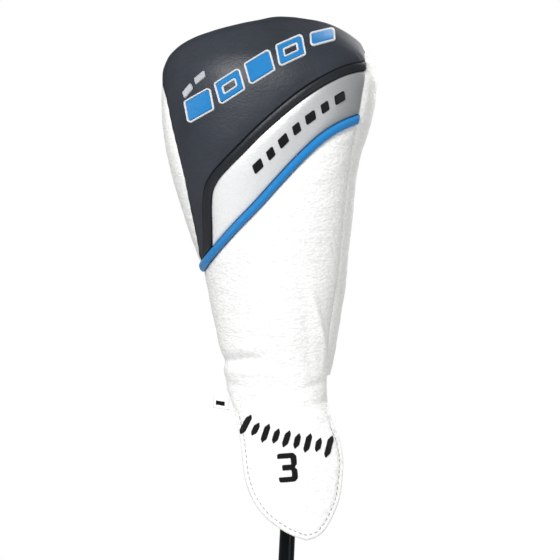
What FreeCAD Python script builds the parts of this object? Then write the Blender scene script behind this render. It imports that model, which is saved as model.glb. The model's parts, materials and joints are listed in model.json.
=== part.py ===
"""Fairway wood with its headcover on: a full-length club (grip, tapered graphite shaft, ferrule, loft
sleeve held by a hosel screw, hollow steel head with a forged face and a composite crown) and a sewn,
lined headcover that pulls off the head.

Frame, millimetres: +Z runs up the shaft axis from the grip's butt to the head, as the club stands in
a bag. The origin is the centre of the butt face. -X is the toe side, +X the heel side, +Y the way the
face looks, -Y the front of the headcover, where its tongue and motifs are.
"""

import FreeCAD, Part
import math
import os

import Sketcher
from FreeCAD import Placement, Rotation, Vector

os.makedirs("parts", exist_ok=True)

doc = FreeCAD.newDocument("fairway_wood")
sheet = doc.addObject("Spreadsheet::Sheet", "Sheet")
sheet.Label = "Sheet"

# ---------------------------------------------------------------- driving dimensions
# A text is a sum of earlier dimensions and numbers. Names in _start, _end, _z, _floor, _seat
# and _par are heights along the shaft axis.
DIM = dict(
    # grip, closed at the butt with a vent hole
    grip_len=267.0, grip_butt_rad=13.3, grip_mid_z=110.0, grip_mid_rad=11.6,
    grip_low_z=190.0, grip_low_rad=10.3, grip_lip_z=262.0, grip_lip_rad=9.35,
    grip_mouth_rad=8.9, grip_bore_rad=7.95, grip_cap=6.0, grip_vent_rad=1.5,
    grip_edge_fillet=2.4,
    # double-sided tape under the grip
    tape_in_rad=7.64, tape_out_rad=7.92, tape_start=8.0, tape_end=262.0,
    # shaft: parallel butt, long taper, parallel tip
    shaft_start="grip_cap + 0.1", shaft_butt_rad=7.62, shaft_butt_par=320.0,
    shaft_tip_par=965.0, shaft_tip_rad=4.25, shaft_end=1067.0, shaft_butt_in=6.55,
    shaft_tip_in=2.6,
    # brass tip weight
    tip_pin_rad=2.55, tip_start=1055.0, tip_flange_rad=4.2, tip_flange=0.85,
    # ferrule
    ferrule_start=1021.0, ferrule_small=5.0, ferrule_swell_z=1033.0, ferrule_swell=6.75,
    ferrule_bore=4.29,
    # loft sleeve glued to the shaft tip
    collar_start=1040.0, collar_end=1044.0, collar_rad=6.9, sleeve_rad=5.7,
    sleeve_bore="ferrule_bore", sleeve_floor=1068.0, sleeve_end=1079.0, sleeve_thread=2.5,
    dog_width=3.0, dog_height=1.6, dog_gap=0.1,
    # index ring between the collar and the hosel
    ring_start="collar_end + 0.05", ring_end=1049.0, ring_bore=5.8, ring_rad="collar_rad",
    # hosel
    hosel_start="ring_end + 0.05", hosel_rad="collar_rad", hosel_bore=5.78,
    hosel_floor=1080.0, hosel_seat=1083.0, seat_hole=2.85, port_rad=4.7, hosel_inner_rad=7.4,
    # hosel screw and washer
    washer_start="hosel_seat + 0.03", washer_end=1084.2, washer_in=2.6, washer_out=4.45,
    screw_tip=1073.0, screw_shank=2.42, screw_seat="washer_end + 0.05", screw_head=4.3,
    screw_top=1089.3, screw_socket_deep=3.0,
    # rear weight screw in the sole
    rear_rad=6.0, rear_len=6.6, rear_socket_rad=2.4, rear_socket_deep=3.0,
    # front ballast bar and stiffener bars
    ballast_long=38.0, ballast_wide=7.0, ballast_high=6.0, stiff_rad=2.0,
    # club geometry
    ground_z=1098.0, lie_deg=57.0, loft_deg=15.0, face_radius=270.0, face_wall=2.8,
    # headcover
    cover_z=1012.0, panel_wall=2.0, lining_gap=2.1, lining_wall=5.0,
    motif_high=0.8, trim_high=0.9, piping_high=1.7, trim_half=2.7, piping_half=2.45,
)


def value(text):
    """The number that a sum of aliases and numbers stands for, such as 'grip_len - 5'."""
    total, sign = 0.0, 1.0
    for word in str(text).split():
        if word in "+-":
            sign = 1.0 if word == "+" else -1.0
        else:
            total += sign * (DIM[word] if word in DIM else float(word))
    return total


def cells(text):
    """The same sum as an expression that reads the sheet."""
    return " ".join("Sheet." + word if word in DIM else word for word in str(text).split())


def is_bound(text):
    return any(word in DIM for word in str(text).split())


for row, (alias, size) in enumerate(DIM.items(), start=1):
    sheet.set("A%d" % row, alias)
    sheet.set("B%d" % row, "=" + size if isinstance(size, str) else repr(size))
    sheet.setAlias("B%d" % row, alias)
    DIM[alias] = value(size)
doc.recompute()

KEPT = []  # (object, file name)


def keep(thing, label):
    thing.Label = label
    KEPT.append((thing, label))
    return thing


def bind(thing, **sizes):
    """Set properties from numbers or sums, and tie those that name a dimension to the sheet."""
    for prop, text in sizes.items():
        setattr(thing, prop, value(text))
        if is_bound(text):
            thing.setExpression(prop, cells(text))


# ---------------------------------------------------------------- body and sketch helpers
def origin_item(body, role):
    return [item for item in body.Origin.OriginFeatures if item.Role == role][0]


def new_sketch(body, name, plane="XY_Plane", height="0"):
    """A sketch on an origin plane, lifted along the plane's normal by height."""
    sketch = body.newObject("Sketcher::SketchObject", name)
    sketch.AttachmentSupport = [(origin_item(body, plane), "")]
    sketch.MapMode = "FlatFace"
    if is_bound(height):
        sketch.AttachmentOffset = Placement(Vector(0, 0, value(height)), Rotation())
        sketch.setExpression("AttachmentOffset.Base.z", cells(height))
    return sketch


def add_polygon(sketch, corners):
    count = len(corners)
    for i in range(count):
        sketch.addGeometry(Part.LineSegment(corners[i], corners[(i + 1) % count]), False)
    for i in range(count):
        sketch.addConstraint(Sketcher.Constraint("Coincident", i, 2, (i + 1) % count, 1))


def turned_body(label, name, points):
    """A body revolved round Z from (radius, height) corners, each size bound to the sheet."""
    body = keep(doc.addObject("PartDesign::Body", label), label)
    sketch = new_sketch(body, name + "_profile", "XZ_Plane")
    add_polygon(sketch, [Vector(value(radius), value(z), 0) for radius, z in points])
    for i, (radius, z) in enumerate(points):
        for kind, text, axis, letter in (("DistanceX", radius, -2, "x"), ("DistanceY", z, -1, "y")):
            size = value(text)
            if abs(size) < 1e-9:
                sketch.addConstraint(Sketcher.Constraint("PointOnObject", i, 1, axis))
                continue
            index = sketch.addConstraint(Sketcher.Constraint(kind, -1, 1, i, 1, size))
            if is_bound(text):
                sketch.renameConstraint(index, "%s%d" % (letter, i))
                sketch.setExpression(".Constraints.%s%d" % (letter, i), cells(text))
    turned = body.newObject("PartDesign::Revolution", name + "_revolved")
    turned.Profile = sketch
    turned.ReferenceAxis = (sketch, ["V_Axis"])
    turned.Angle = 360.0
    doc.recompute()
    return body


def four_blocks(body, name, kind, span, height, width, deep):
    """Four blocks round the shaft axis, spanning two radii: drive dogs or their notches."""
    sketch = new_sketch(body, name + "_sketch", height=height)
    inner, outer = span
    half = value(width) / 2.0
    add_polygon(sketch, [Vector(inner, -half, 0), Vector(outer, -half, 0),
                         Vector(outer, half, 0), Vector(inner, half, 0)])
    sketch.addConstraint(Sketcher.Constraint("Horizontal", 0))
    sketch.addConstraint(Sketcher.Constraint("Horizontal", 2))
    sketch.addConstraint(Sketcher.Constraint("Vertical", 3))
    sketch.addConstraint(Sketcher.Constraint("DistanceX", -1, 1, 0, 1, inner))
    sketch.addConstraint(Sketcher.Constraint("DistanceX", -1, 1, 1, 1, outer))
    index = sketch.addConstraint(Sketcher.Constraint("DistanceY", 1, 1, 1, 2, 2 * half))
    sketch.renameConstraint(index, "wide")
    sketch.setExpression(".Constraints.wide", cells(width))
    sketch.addConstraint(Sketcher.Constraint("Symmetric", 1, 1, 1, 2, -1))
    block = body.newObject("PartDesign::" + kind, name)
    block.Profile = sketch
    bind(block, Length=deep)
    block.Reversed = kind == "Pocket"  # a pocket cuts towards -Z unless reversed
    doc.recompute()
    pattern = body.newObject("PartDesign::PolarPattern", name + "_pattern")
    pattern.Originals = [block]
    pattern.Axis = (origin_item(body, "Z_Axis"), [""])
    pattern.Angle = 360.0
    pattern.Occurrences = 4
    body.Tip = pattern
    doc.recompute()


def cut_socket(body, name, radii, count, height, deep, upward):
    """A drive socket: a polygon of count corners whose radii repeat in turn."""
    sketch = new_sketch(body, name + "_sketch", height=height)
    corners = []
    for i in range(count):
        radius, angle = radii[i % len(radii)], math.radians(360.0 / count * i)
        corners.append(Vector(radius * math.cos(angle), radius * math.sin(angle), 0))
    add_polygon(sketch, corners)
    pocket = body.newObject("PartDesign::Pocket", name)
    pocket.Profile = sketch
    bind(pocket, Length=deep)
    pocket.Reversed = upward
    doc.recompute()


# ---------------------------------------------------------------- grip
grip = turned_body("grip", "grip", [
    ("grip_vent_rad", "0"), ("grip_butt_rad", "0"), ("grip_butt_rad", "12"),
    ("grip_mid_rad", "grip_mid_z"), ("grip_low_rad", "grip_low_z"), ("grip_lip_rad", "grip_lip_z"),
    ("grip_mouth_rad", "grip_len"), ("grip_bore_rad", "grip_len"), ("grip_bore_rad", "grip_cap"),
    ("grip_vent_rad", "grip_cap"),
])


def on_butt_rim(edge, near=0.05):
    box = edge.BoundBox
    return (abs(box.ZMin) < near and abs(box.ZMax) < near
            and abs(box.XMax - DIM["grip_butt_rad"]) < near)


grip_turned = grip.Tip
rim_edges = ["Edge%d" % i for i, edge in enumerate(grip_turned.Shape.Edges, start=1)
             if on_butt_rim(edge)]
butt_round = grip.newObject("PartDesign::Fillet", "grip_butt_round")
butt_round.Base = (grip_turned, rim_edges)
bind(butt_round, Radius="grip_edge_fillet")
doc.recompute()

# ---------------------------------------------------------------- tape, shaft, tip weight, ferrule
turned_body("grip_tape", "tape", [
    ("tape_in_rad", "tape_start"), ("tape_out_rad", "tape_start"),
    ("tape_out_rad", "tape_end"), ("tape_in_rad", "tape_end"),
])

turned_body("shaft", "shaft", [
    ("shaft_butt_in", "shaft_start"), ("shaft_butt_rad", "shaft_start"),
    ("shaft_butt_rad", "shaft_butt_par"), ("shaft_tip_rad", "shaft_tip_par"),
    ("shaft_tip_rad", "shaft_end"), ("shaft_tip_in", "shaft_end"),
    ("shaft_tip_in", "shaft_tip_par"), ("shaft_butt_in", "shaft_butt_par"),
])

# a pin inside the shaft's tip with a flange just past its end
turned_body("tip_weight", "tip", [
    ("0", "tip_start"), ("tip_pin_rad", "tip_start"), ("tip_pin_rad", "shaft_end + 0.03"),
    ("tip_flange_rad", "shaft_end + 0.03"), ("tip_flange_rad", "shaft_end + tip_flange"),
    ("0", "shaft_end + tip_flange"),
])

turned_body("ferrule", "ferrule", [
    ("ferrule_bore", "ferrule_start"), ("ferrule_small", "ferrule_start"),
    ("ferrule_swell", "ferrule_swell_z"), ("collar_rad", "collar_start - 2.2"),
    ("collar_rad", "collar_start - 0.02"), ("ferrule_bore", "collar_start - 0.02"),
])

# ---------------------------------------------------------------- loft sleeve and index ring
DOG_SPAN = (5.9, 6.75)    # inner and outer radius of the drive dogs
NOTCH_SPAN = (5.0, 8.0)   # the notches cut right through the ring's wall

sleeve = turned_body("loft_sleeve", "sleeve", [
    ("sleeve_bore", "collar_start"), ("collar_rad", "collar_start"), ("collar_rad", "collar_end"),
    ("sleeve_rad", "collar_end"), ("sleeve_rad", "sleeve_end"), ("sleeve_thread", "sleeve_end"),
    ("sleeve_thread", "sleeve_floor"), ("sleeve_bore", "sleeve_floor"),
])
four_blocks(sleeve, "sleeve_dog", "Pad", DOG_SPAN, "collar_end", "dog_width", "dog_height")

index_ring = turned_body("index_ring", "ring", [
    ("ring_bore", "ring_start"), ("ring_rad", "ring_start"),
    ("ring_rad", "ring_end"), ("ring_bore", "ring_end"),
])
four_blocks(index_ring, "ring_notch", "Pocket", NOTCH_SPAN, "ring_start",
            "dog_width + dog_gap + dog_gap", "dog_height + dog_gap + dog_gap")

# ---------------------------------------------------------------- hosel screw and washer
SCREW_STAR = (2.15, 1.65)  # outer and inner radius of the six-lobe drive, a twelve-point star

turned_body("screw_washer", "washer", [
    ("washer_in", "washer_start"), ("washer_out", "washer_start"),
    ("washer_out", "washer_end"), ("washer_in", "washer_end"),
])

screw = turned_body("hosel_screw", "screw", [
    ("0", "screw_tip"), ("screw_shank - 0.6", "screw_tip"), ("screw_shank", "screw_tip + 0.8"),
    ("screw_shank", "screw_seat"), ("screw_head", "screw_seat"), ("screw_head", "screw_top - 0.5"),
    ("screw_head - 0.5", "screw_top"), ("0", "screw_top"),
])
cut_socket(screw, "socket", SCREW_STAR, 12, "screw_top", "screw_socket_deep", upward=False)

# ---------------------------------------------------------------- head frame and shape helpers
LIE = math.radians(DIM["lie_deg"])
SIN_LIE, COS_LIE = math.sin(LIE), math.cos(LIE)


def on_head(toe, face, up):
    """A head point (heel to toe, towards the face, up from the sole) in the club's frame."""
    return Vector(-SIN_LIE * toe - COS_LIE * up, face,
                  DIM["ground_z"] + COS_LIE * toe - SIN_LIE * up)


def placed_on_head(toe, face, up):
    turn = FreeCAD.Matrix(-SIN_LIE, 0, -COS_LIE, 0,
                          0, 1, 0, 0,
                          COS_LIE, 0, -SIN_LIE, 0,
                          0, 0, 0, 1)
    return Placement(on_head(toe, face, up), Placement(turn).Rotation)


def on_axis(z):
    return Placement(Vector(0, 0, z), Rotation())


def solid_of(kind, name, placement, **sizes):
    """A Box, Cylinder, Cone or Sphere with its sizes bound to the sheet."""
    thing = doc.addObject("Part::" + kind, name)
    bind(thing, **sizes)
    thing.Placement = placement
    return thing


def boolean(kind, name, base, tool):
    thing = doc.addObject("Part::" + kind, name)
    thing.Base = base
    thing.Tool = tool
    return thing


def cut(name, base, tool):
    return boolean("Cut", name, base, tool)


def common(name, base, tool):
    return boolean("Common", name, base, tool)


def cut_in_turn(base, *steps):
    for name, tool in steps:
        base = cut(name, base, tool)
    return base


def feature(name, shape):
    thing = doc.addObject("Part::Feature", name)
    thing.Shape = shape
    return thing


def extrude(name, wire, direction, length):
    prism = doc.addObject("Part::Extrusion", name)
    prism.Base = feature(name + "_wire", wire)
    prism.DirMode = "Custom"
    prism.Dir = direction
    prism.LengthFwd = length
    prism.Solid = True
    return prism


def round_all(name, box, radius):
    """Fillet the twelve edges of a box."""
    rounded = doc.addObject("Part::Fillet", name)
    rounded.Base = box
    doc.recompute()
    rounded.Edges = [(i + 1, radius, radius) for i in range(12)]
    return rounded


def signed_power(number, power):
    return math.copysign(abs(number) ** power, number)


def loft_of(rings):
    """A closed solid skinned through planar rings of points: one smooth side, two flat caps."""
    count = len(rings[0])
    round_at = [i / float(count) for i in range(count + 1)]
    curves = []
    for points in rings:
        curve = Part.BSplineCurve()
        curve.interpolate(Points=points, PeriodicFlag=True, Parameters=round_at)
        curves.append(curve)
    # rings are spaced along the surface by the mean distance between their points
    along_at = [0.0]
    for ring, after in zip(rings, rings[1:]):
        along_at.append(along_at[-1] + sum((p - q).Length for p, q in zip(ring, after)) / count)
    along_at = [at / along_at[-1] for at in along_at]
    columns = []
    for j in range(curves[0].NbPoles):
        rail = Part.BSplineCurve()
        rail.interpolate(Points=[curve.getPole(j + 1) for curve in curves], Parameters=along_at)
        columns.append(rail.getPoles())
    surface = Part.BSplineSurface()
    surface.buildFromPolesMultsKnots(
        columns, curves[0].getMultiplicities(), rail.getMultiplicities(),
        curves[0].getKnots(), rail.getKnots(), True, False, 3, rail.Degree)
    side = surface.toShape()
    caps = [Part.Face(Part.Wire([edge])) for edge in side.Edges
            if edge.isClosed() and len(edge.Vertexes) == 1 and edge.Curve.isPeriodic()]
    if len(caps) != 2:
        raise SystemExit("loft caps: %d" % len(caps))
    shell = Part.Shell([side] + caps)
    solid = Part.Solid(shell)
    if solid.Volume < 0:
        solid.reverse()
    # guards against caps that do not join the side within tolerance
    if not solid.isValid() or not shell.isClosed():
        solid = Part.Solid(Part.Shell(shell.Faces))
        solid.fix(1e-6, 1e-6, 1e-4)
    return solid


# ---------------------------------------------------------------- head skins
# Stations from beyond the face to the trailing edge:
# place towards the face, half length, centre heel to toe, crown height, sole height, widest height
HEAD = [
    (30.0, 41.3, 29.8, 28.0, 3.0, 13.5),
    (16.0, 46.2, 30.2, 33.0, 1.2, 13.8),
    (4.0, 49.75, 31.25, 36.4, 0.2, 14.0),
    (-9.0, 51.7, 32.7, 37.6, 0.0, 14.0),
    (-22.0, 50.5, 33.5, 36.2, 0.4, 13.8),
    (-35.0, 45.5, 33.5, 32.4, 1.4, 13.5),
    (-46.0, 38.2, 33.5, 27.2, 3.0, 13.2),
    (-55.0, 28.6, 33.5, 21.6, 5.4, 12.8),
    (-61.5, 17.6, 33.5, 17.0, 8.0, 12.4),
    (-65.0, 7.5, 33.5, 14.0, 10.4, 12.2),
]
HEAD_POINTS = 26
CROWN_EXPONENT, SOLE_EXPONENT = 2.15, 2.7  # superellipse exponents over and under the widest line
LEAST_HALF_HEIGHT = 0.7
HEAD_MID = 33.5     # centre of the head, heel to toe
HEAD_WALL = 2.2
CROWN_WALL = 1.1


def head_loft(inset):
    """The head's outer form moved in by inset."""
    rings = []
    for face, half, middle, crown, sole, widest in HEAD:
        half -= inset * 1.05
        if face < 0:
            face += inset
        over = max(crown - inset - widest, LEAST_HALF_HEIGHT)
        under = max(widest - sole - inset, LEAST_HALF_HEIGHT)
        points = []
        for i in range(HEAD_POINTS):
            angle = 2 * math.pi * i / HEAD_POINTS
            across, rise = math.cos(angle), math.sin(angle)
            power = 2 / (CROWN_EXPONENT if rise >= 0 else SOLE_EXPONENT)
            reach = over if rise >= 0 else under
            points.append(on_head(middle + half * signed_power(across, power), face,
                                  widest + reach * signed_power(rise, power)))
        rings.append(points)
    return loft_of(rings)


skin = feature("head_skin", head_loft(0.0))
ledge = feature("head_ledge_skin", head_loft(CROWN_WALL))
cavity = feature("head_cavity", head_loft(HEAD_WALL))

# ---------------------------------------------------------------- hosel outside and face plate
FACE_CENTRE = (33.0, 15.2, 16.0)   # heel to toe, towards the face, up
NECK_LEN = 8.0
FLARE_LEN, FLARE_RAD = 20.0, 10.6
# score lines: shallow slots either side of the face centre
SCORE_STARTS = (14.0, 39.0)        # heel ends of the two columns
SCORE_LEN, SCORE_HIGH = 14.0, 0.8
SCORE_ROWS, SCORE_FIRST, SCORE_PITCH = 7, 8.0, 3.4

# the face bulges as part of a large ball, tilted back by the loft
LOFT = math.radians(DIM["loft_deg"])
ball_place = Placement(on_head(
    FACE_CENTRE[0],
    FACE_CENTRE[1] - DIM["face_radius"] * math.cos(LOFT),
    FACE_CENTRE[2] - DIM["face_radius"] * math.sin(LOFT)), Rotation())
ball_out = solid_of("Sphere", "face_ball", ball_place, Radius="face_radius")
ball_in = solid_of("Sphere", "face_ball_inner", ball_place, Radius="face_radius - face_wall")
ball_groove = solid_of("Sphere", "face_ball_groove", ball_place, Radius="face_radius - 0.45")

neck = solid_of("Cylinder", "hosel_neck", on_axis(DIM["hosel_start"]),
                Radius="hosel_rad", Height=NECK_LEN)
flare = solid_of("Cone", "hosel_flare", on_axis(DIM["hosel_start"] + NECK_LEN),
                 Radius1="hosel_rad", Radius2=FLARE_RAD, Height=FLARE_LEN)
hosel = boolean("Fuse", "hosel_outside", neck, flare)

# the hosel runs past the face at the heel, so the face plate is cut round it
head_front = common("head_to_face", skin, ball_out)
face_slab = cut_in_turn(head_front, ("face_slab", ball_in), ("face_slab_past_hosel", hosel))

score = doc.addObject("Part::MultiFuse", "score_lines")
score.Shapes = [
    solid_of("Box", "score_%d_%d" % (i, start),
             placed_on_head(start, 4.0, SCORE_FIRST + SCORE_PITCH * i),
             Length=SCORE_LEN, Width=26.0, Height=SCORE_HIGH)
    for i in range(SCORE_ROWS) for start in SCORE_STARTS]
score_cut = cut("score_depth", score, ball_groove)
keep(cut("face_plate_cut", face_slab, score_cut), "face_plate")

# ---------------------------------------------------------------- crown plate
CROWN_LOW, CROWN_HIGH = 15.0, 60.0       # heights of the cutting prisms over the sole
CROWN_INSET, OPENING_INSET = 7.0, 11.5   # the body's opening is smaller, leaving a ledge
KEEPOUT_START, KEEPOUT_LEN = 1046.0, 60.0


def crown_prism(name, inset):
    """A prism square to the sole with a rounded plan, moved in by inset."""
    points = []
    for i in range(28):
        angle = 2 * math.pi * i / 28
        toeward, faceward = math.cos(angle), math.sin(angle)
        half_wide = 52.5 - inset
        half_deep = 15.0 - inset * 0.6 if faceward > 0 else 58.0 - inset
        points.append(on_head(HEAD_MID + half_wide * signed_power(toeward, 0.86),
                              -7.0 + half_deep * signed_power(faceward, 0.86), CROWN_LOW))
    curve = Part.BSplineCurve()
    curve.interpolate(Points=points, PeriodicFlag=True)
    return extrude(name, Part.Wire([curve.toShape()]), on_head(0, 0, 1) - on_head(0, 0, 0),
                   CROWN_HIGH - CROWN_LOW)


def clear_of_hosel(name, prism, keepout_name, radius):
    keepout = solid_of("Cylinder", keepout_name, on_axis(KEEPOUT_START),
                       Radius=radius, Height=KEEPOUT_LEN)
    return cut(name, prism, keepout)


# the hosel boss stays steel, so the crown plate and its opening stop short of it
crown_region = clear_of_hosel("crown_region_clear", crown_prism("crown_region", CROWN_INSET),
                              "hosel_keepout", 12.5)
crown_hole = clear_of_hosel("crown_opening_clear", crown_prism("crown_opening", OPENING_INSET),
                            "hosel_keepout_wide", 17.0)
head_rear = common("head_behind_face", skin, ball_in)
crown_skin = cut("crown_outer_skin", head_rear, ledge)
crown_plate = keep(common("crown_plate_cut", crown_skin, crown_region), "crown_plate")

# ---------------------------------------------------------------- steel head body
WEIGHT_FACE = -44.0     # the rear weight's place, behind the face
SEAT_START = 1076.0     # the screw's hole is cut from here, below the hosel floor
TUBE_START = 1060.0

# the hollow leaves the hosel's inner tube and the weight boss standing
tube = solid_of("Cylinder", "hosel_tube", on_axis(TUBE_START),
                Radius="hosel_inner_rad", Height=60.0)
boss = solid_of("Cylinder", "weight_boss", placed_on_head(HEAD_MID, WEIGHT_FACE, -3.0),
                Radius="rear_rad + 2.4", Height=17.0)
hollow = cut_in_turn(cavity, ("hollow_1", tube), ("hollow_2", boss), ("hollow_3", hosel))

bore = solid_of("Cylinder", "hosel_bore_cut", on_axis(DIM["collar_start"]),
                Radius="hosel_bore", Height="hosel_floor - collar_start")
seat = solid_of("Cylinder", "seat_hole_cut", on_axis(SEAT_START), Radius="seat_hole", Height=12.0)
port = solid_of("Cylinder", "port_cut", on_axis(DIM["hosel_seat"]), Radius="port_rad", Height=40.0)
weight_pocket = solid_of("Cylinder", "weight_pocket_cut",
                         placed_on_head(HEAD_MID, WEIGHT_FACE, -5.0),
                         Radius="rear_rad + 0.03", Height=16.0)
head_body = cut_in_turn(
    boolean("Fuse", "head_and_hosel", head_rear, hosel),
    ("head_shell", hollow), ("head_shell_seat", crown_plate), ("head_shell_open", crown_hole),
    ("head_bored", bore), ("head_seat_hole", seat), ("head_ported", port),
    ("head_body_cut", weight_pocket))
keep(head_body, "head_body")

# ---------------------------------------------------------------- weights and bars in the head
# tungsten rear weight, a plug screw let into the sole
rear = turned_body("rear_weight", "rearw", [
    ("0", "0"), ("rear_rad - 0.5", "0"), ("rear_rad", "0.5"),
    ("rear_rad", "rear_len"), ("0", "rear_len"),
])
cut_socket(rear, "rear_socket", (DIM["rear_socket_rad"],), 6, "0", "rear_socket_deep", upward=True)
rear.Placement = placed_on_head(HEAD_MID, WEIGHT_FACE, 4.2)

ballast = solid_of("Box", "front_ballast_bar",
                   placed_on_head(HEAD_MID - DIM["ballast_long"] / 2, 0.0, 3.0),
                   Length="ballast_long", Width="ballast_wide", Height="ballast_high")
keep(round_all("front_ballast_round", ballast, 1.2), "front_ballast")

stiffeners = doc.addObject("Part::Compound", "stiffener_pair")
stiffeners.Links = [
    solid_of("Cylinder", "stiffener_%d" % toe, placed_on_head(toe, -6.0, 3.2),
             Radius="stiff_rad", Height=28.0)
    for toe in (18.0, 49.0)]
keep(stiffeners, "stiffener_bars")

# ---------------------------------------------------------------- headcover skins
# Stations up the cover: height over cover_z, toe edge x, heel edge x, front y, back y,
# superellipse exponent.
COVER = [
    (-170, -40, 42, -23, 22, 2.2),
    (-140, -40, 42, -25, 22, 2.2),
    (-118, -40.5, 41, -27, 22, 2.2),
    (-100, -41, 37, -29, 22, 2.2),
    (-85, -41, 30, -31, 22.5, 2.2),
    (-71, -41.6, 21.5, -33.5, 23, 2.2),
    (-55, -44, 22.8, -38, 24, 2.2),
    (-40, -47.8, 24, -43, 25, 2.25),
    (-20, -53, 25.8, -50, 26, 2.3),
    (0, -58.3, 27.6, -57.5, 27.5, 2.35),
    (20, -66, 28.8, -64.5, 28.5, 2.4),
    (40, -73, 30.2, -70.5, 29.8, 2.45),
    (60, -80.3, 30.8, -75, 31.4, 2.5),
    (75, -84.2, 32.6, -77, 33.2, 2.5),
    (88, -86.8, 35.8, -78, 34, 2.5),
    (100, -88.5, 38.8, -78.2, 34, 2.5),
    (112, -89.5, 40.6, -77.5, 33.4, 2.5),
    (121, -89.2, 41.0, -75.8, 32.2, 2.5),
    (130, -86.6, 40.0, -72.4, 30, 2.45),
    (138, -80.2, 37.2, -67, 26, 2.4),
    (144, -71.2, 32.2, -60.5, 20.5, 2.35),
    (149, -59.5, 26.0, -53, 13.5, 2.3),
    (153.5, -45.5, 18.0, -45, 5, 2.25),
    (157, -32, 8, -36.5, -5.5, 2.2),
    (159.2, -24, -6, -29, -15, 2.2),
]
COVER_POINTS = 32
CROWN_FROM = 100        # from this height up, an inset also moves the form down
OPEN_LOW = -175         # inner forms start here, below the outer ones, to cut the mouth open
COVER_Z = DIM["cover_z"]


def cover_form(name, inset, low=None):
    """The cover's outer form moved in by inset, with its first ring lowered to low if given."""
    rings = []
    means = [((heel - toe) + (back - front)) / 4.0 for _, toe, heel, front, back, _ in COVER]
    for i, (z, toe, heel, front, back, exponent) in enumerate(COVER):
        if z < CROWN_FROM:
            inward, down = 1.0, 0.0
        elif i == len(COVER) - 1:
            inward, down = 0.3, 1.0
        else:  # square to the mean profile
            widening = means[i + 1] - means[i - 1]
            rise = COVER[i + 1][0] - COVER[i - 1][0]
            size = math.hypot(widening, rise)
            inward, down = rise / size, -widening / size
        half_x = (heel - toe) / 2.0 - inset * inward
        half_y = (back - front) / 2.0 - inset * inward
        level = low if low is not None and i == 0 else z - inset * down
        points = []
        for j in range(COVER_POINTS):
            angle = 2 * math.pi * (j + 0.5) / COVER_POINTS
            points.append(Vector(
                (toe + heel) / 2.0 + half_x * signed_power(math.cos(angle), 2.0 / exponent),
                (front + back) / 2.0 + half_y * signed_power(math.sin(angle), 2.0 / exponent),
                COVER_Z + level))
        rings.append(points)
    return feature(name, loft_of(rings))


cover_outer = cover_form("cover_skin", 0.0)
panel_inner = cover_form("cover_panel_inner", DIM["panel_wall"], OPEN_LOW)
lining_outer = cover_form("cover_lining_outer", DIM["lining_gap"])
lining_inner = cover_form("cover_lining_inner", DIM["lining_wall"], OPEN_LOW)
motif_skin = cover_form("cover_motif_skin", -DIM["motif_high"])
trim_skin = cover_form("cover_trim_skin", -DIM["trim_high"])
piping_skin = cover_form("cover_piping_skin", -DIM["piping_high"])

# ---------------------------------------------------------------- headcover seam lines
# All lines are (x, z over cover_z) points.
SEAM_TOE = [
    (-96, 132), (-88.4, 119), (-87.1, 107), (-82.3, 89.2), (-78.6, 76.7), (-73.6, 59.5),
    (-69.0, 40.7), (-65.4, 22), (-63.6, 4.5), (-62.6, -10), (-62.0, -25), (-61.0, -42),
    (-58.0, -57), (-52.0, -68), (-44.0, -75.0),
]
TONGUE = [
    (-44.0, -75.0), (-39.2, -78.0), (-36.4, -85), (-33.6, -94.7), (-31.7, -103.6),
    (-29.8, -116.6), (-26.9, -127.5), (-22.8, -135.8), (-16.9, -143.6), (-10.5, -149.1),
    (-4.0, -153.2), (4.4, -157.0), (12.0, -159.1), (18.4, -156.8), (23.6, -151.4),
    (28.4, -142.1), (31.8, -131.0), (32.8, -118.1), (32.2, -105.3), (29.9, -96.1),
    (26.5, -89), (22.5, -80), (20.6, -70.4),
]
SEAM_HEEL = [
    (20.6, -70.4), (20.9, -62), (20.4, -53.6), (19.6, -44.5), (20.4, -30), (21.9, -12),
    (23.6, 6), (24.6, 25), (25.2, 44), (26.2, 61.4), (28.0, 80), (30.4, 96.6), (32.2, 109.2),
    (33.6, 120.2), (33.7, 127.1), (31.6, 138.0), (28.5, 148.0), (24, 158),
]
# centre lines of the black trim and the blue piping, heel side to toe side
TRIM = [
    (60.0, 134.0), (44.0, 133.0), (32.9, 130.3), (22.0, 126.4), (9.6, 119.4), (-3.6, 109.9),
    (-16.7, 98.3), (-29.6, 85.6), (-39.0, 75.2), (-47.5, 66.0), (-53.6, 58.6), (-57.2, 51.0),
    (-58.0, 42.6), (-57.4, 29.1), (-56.9, 18.0), (-56.6, 4.0), (-56.4, -12.0),
]
PIPING = [
    (60.0, 108.0), (44.0, 102.6), (30.6, 97.6), (20.4, 92.4), (10.6, 85.6), (-1.9, 73.4),
    (-14.8, 58.5), (-27.7, 42.9), (-40.8, 28.4), (-52.6, 14.6), (-60.0, 5.2), (-68.0, -6.0),
    (-76, -18),
]
# back panel: inset from the silhouette, ends at the neck
BACK = [
    (-34.5, -80), (-38.0, -50), (-46.0, -20), (-58.0, 20), (-71.5, 60), (-78.0, 90),
    (-80.0, 112), (-75.0, 128), (-63.0, 138), (-44.0, 146), (-22.0, 150), (0.0, 147),
    (18.0, 138.5), (28.5, 126), (31.0, 112), (27.0, 90), (22.5, 60), (20.5, 20), (18.0, -20),
    (16.0, -50), (15.0, -80),
]
NEAR, FAR = -120.0, 60.0   # y range of the cutting prisms
HEM_RISE = 52.8            # the neck's hem lines rise by this from x = -120 to x = 120


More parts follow.
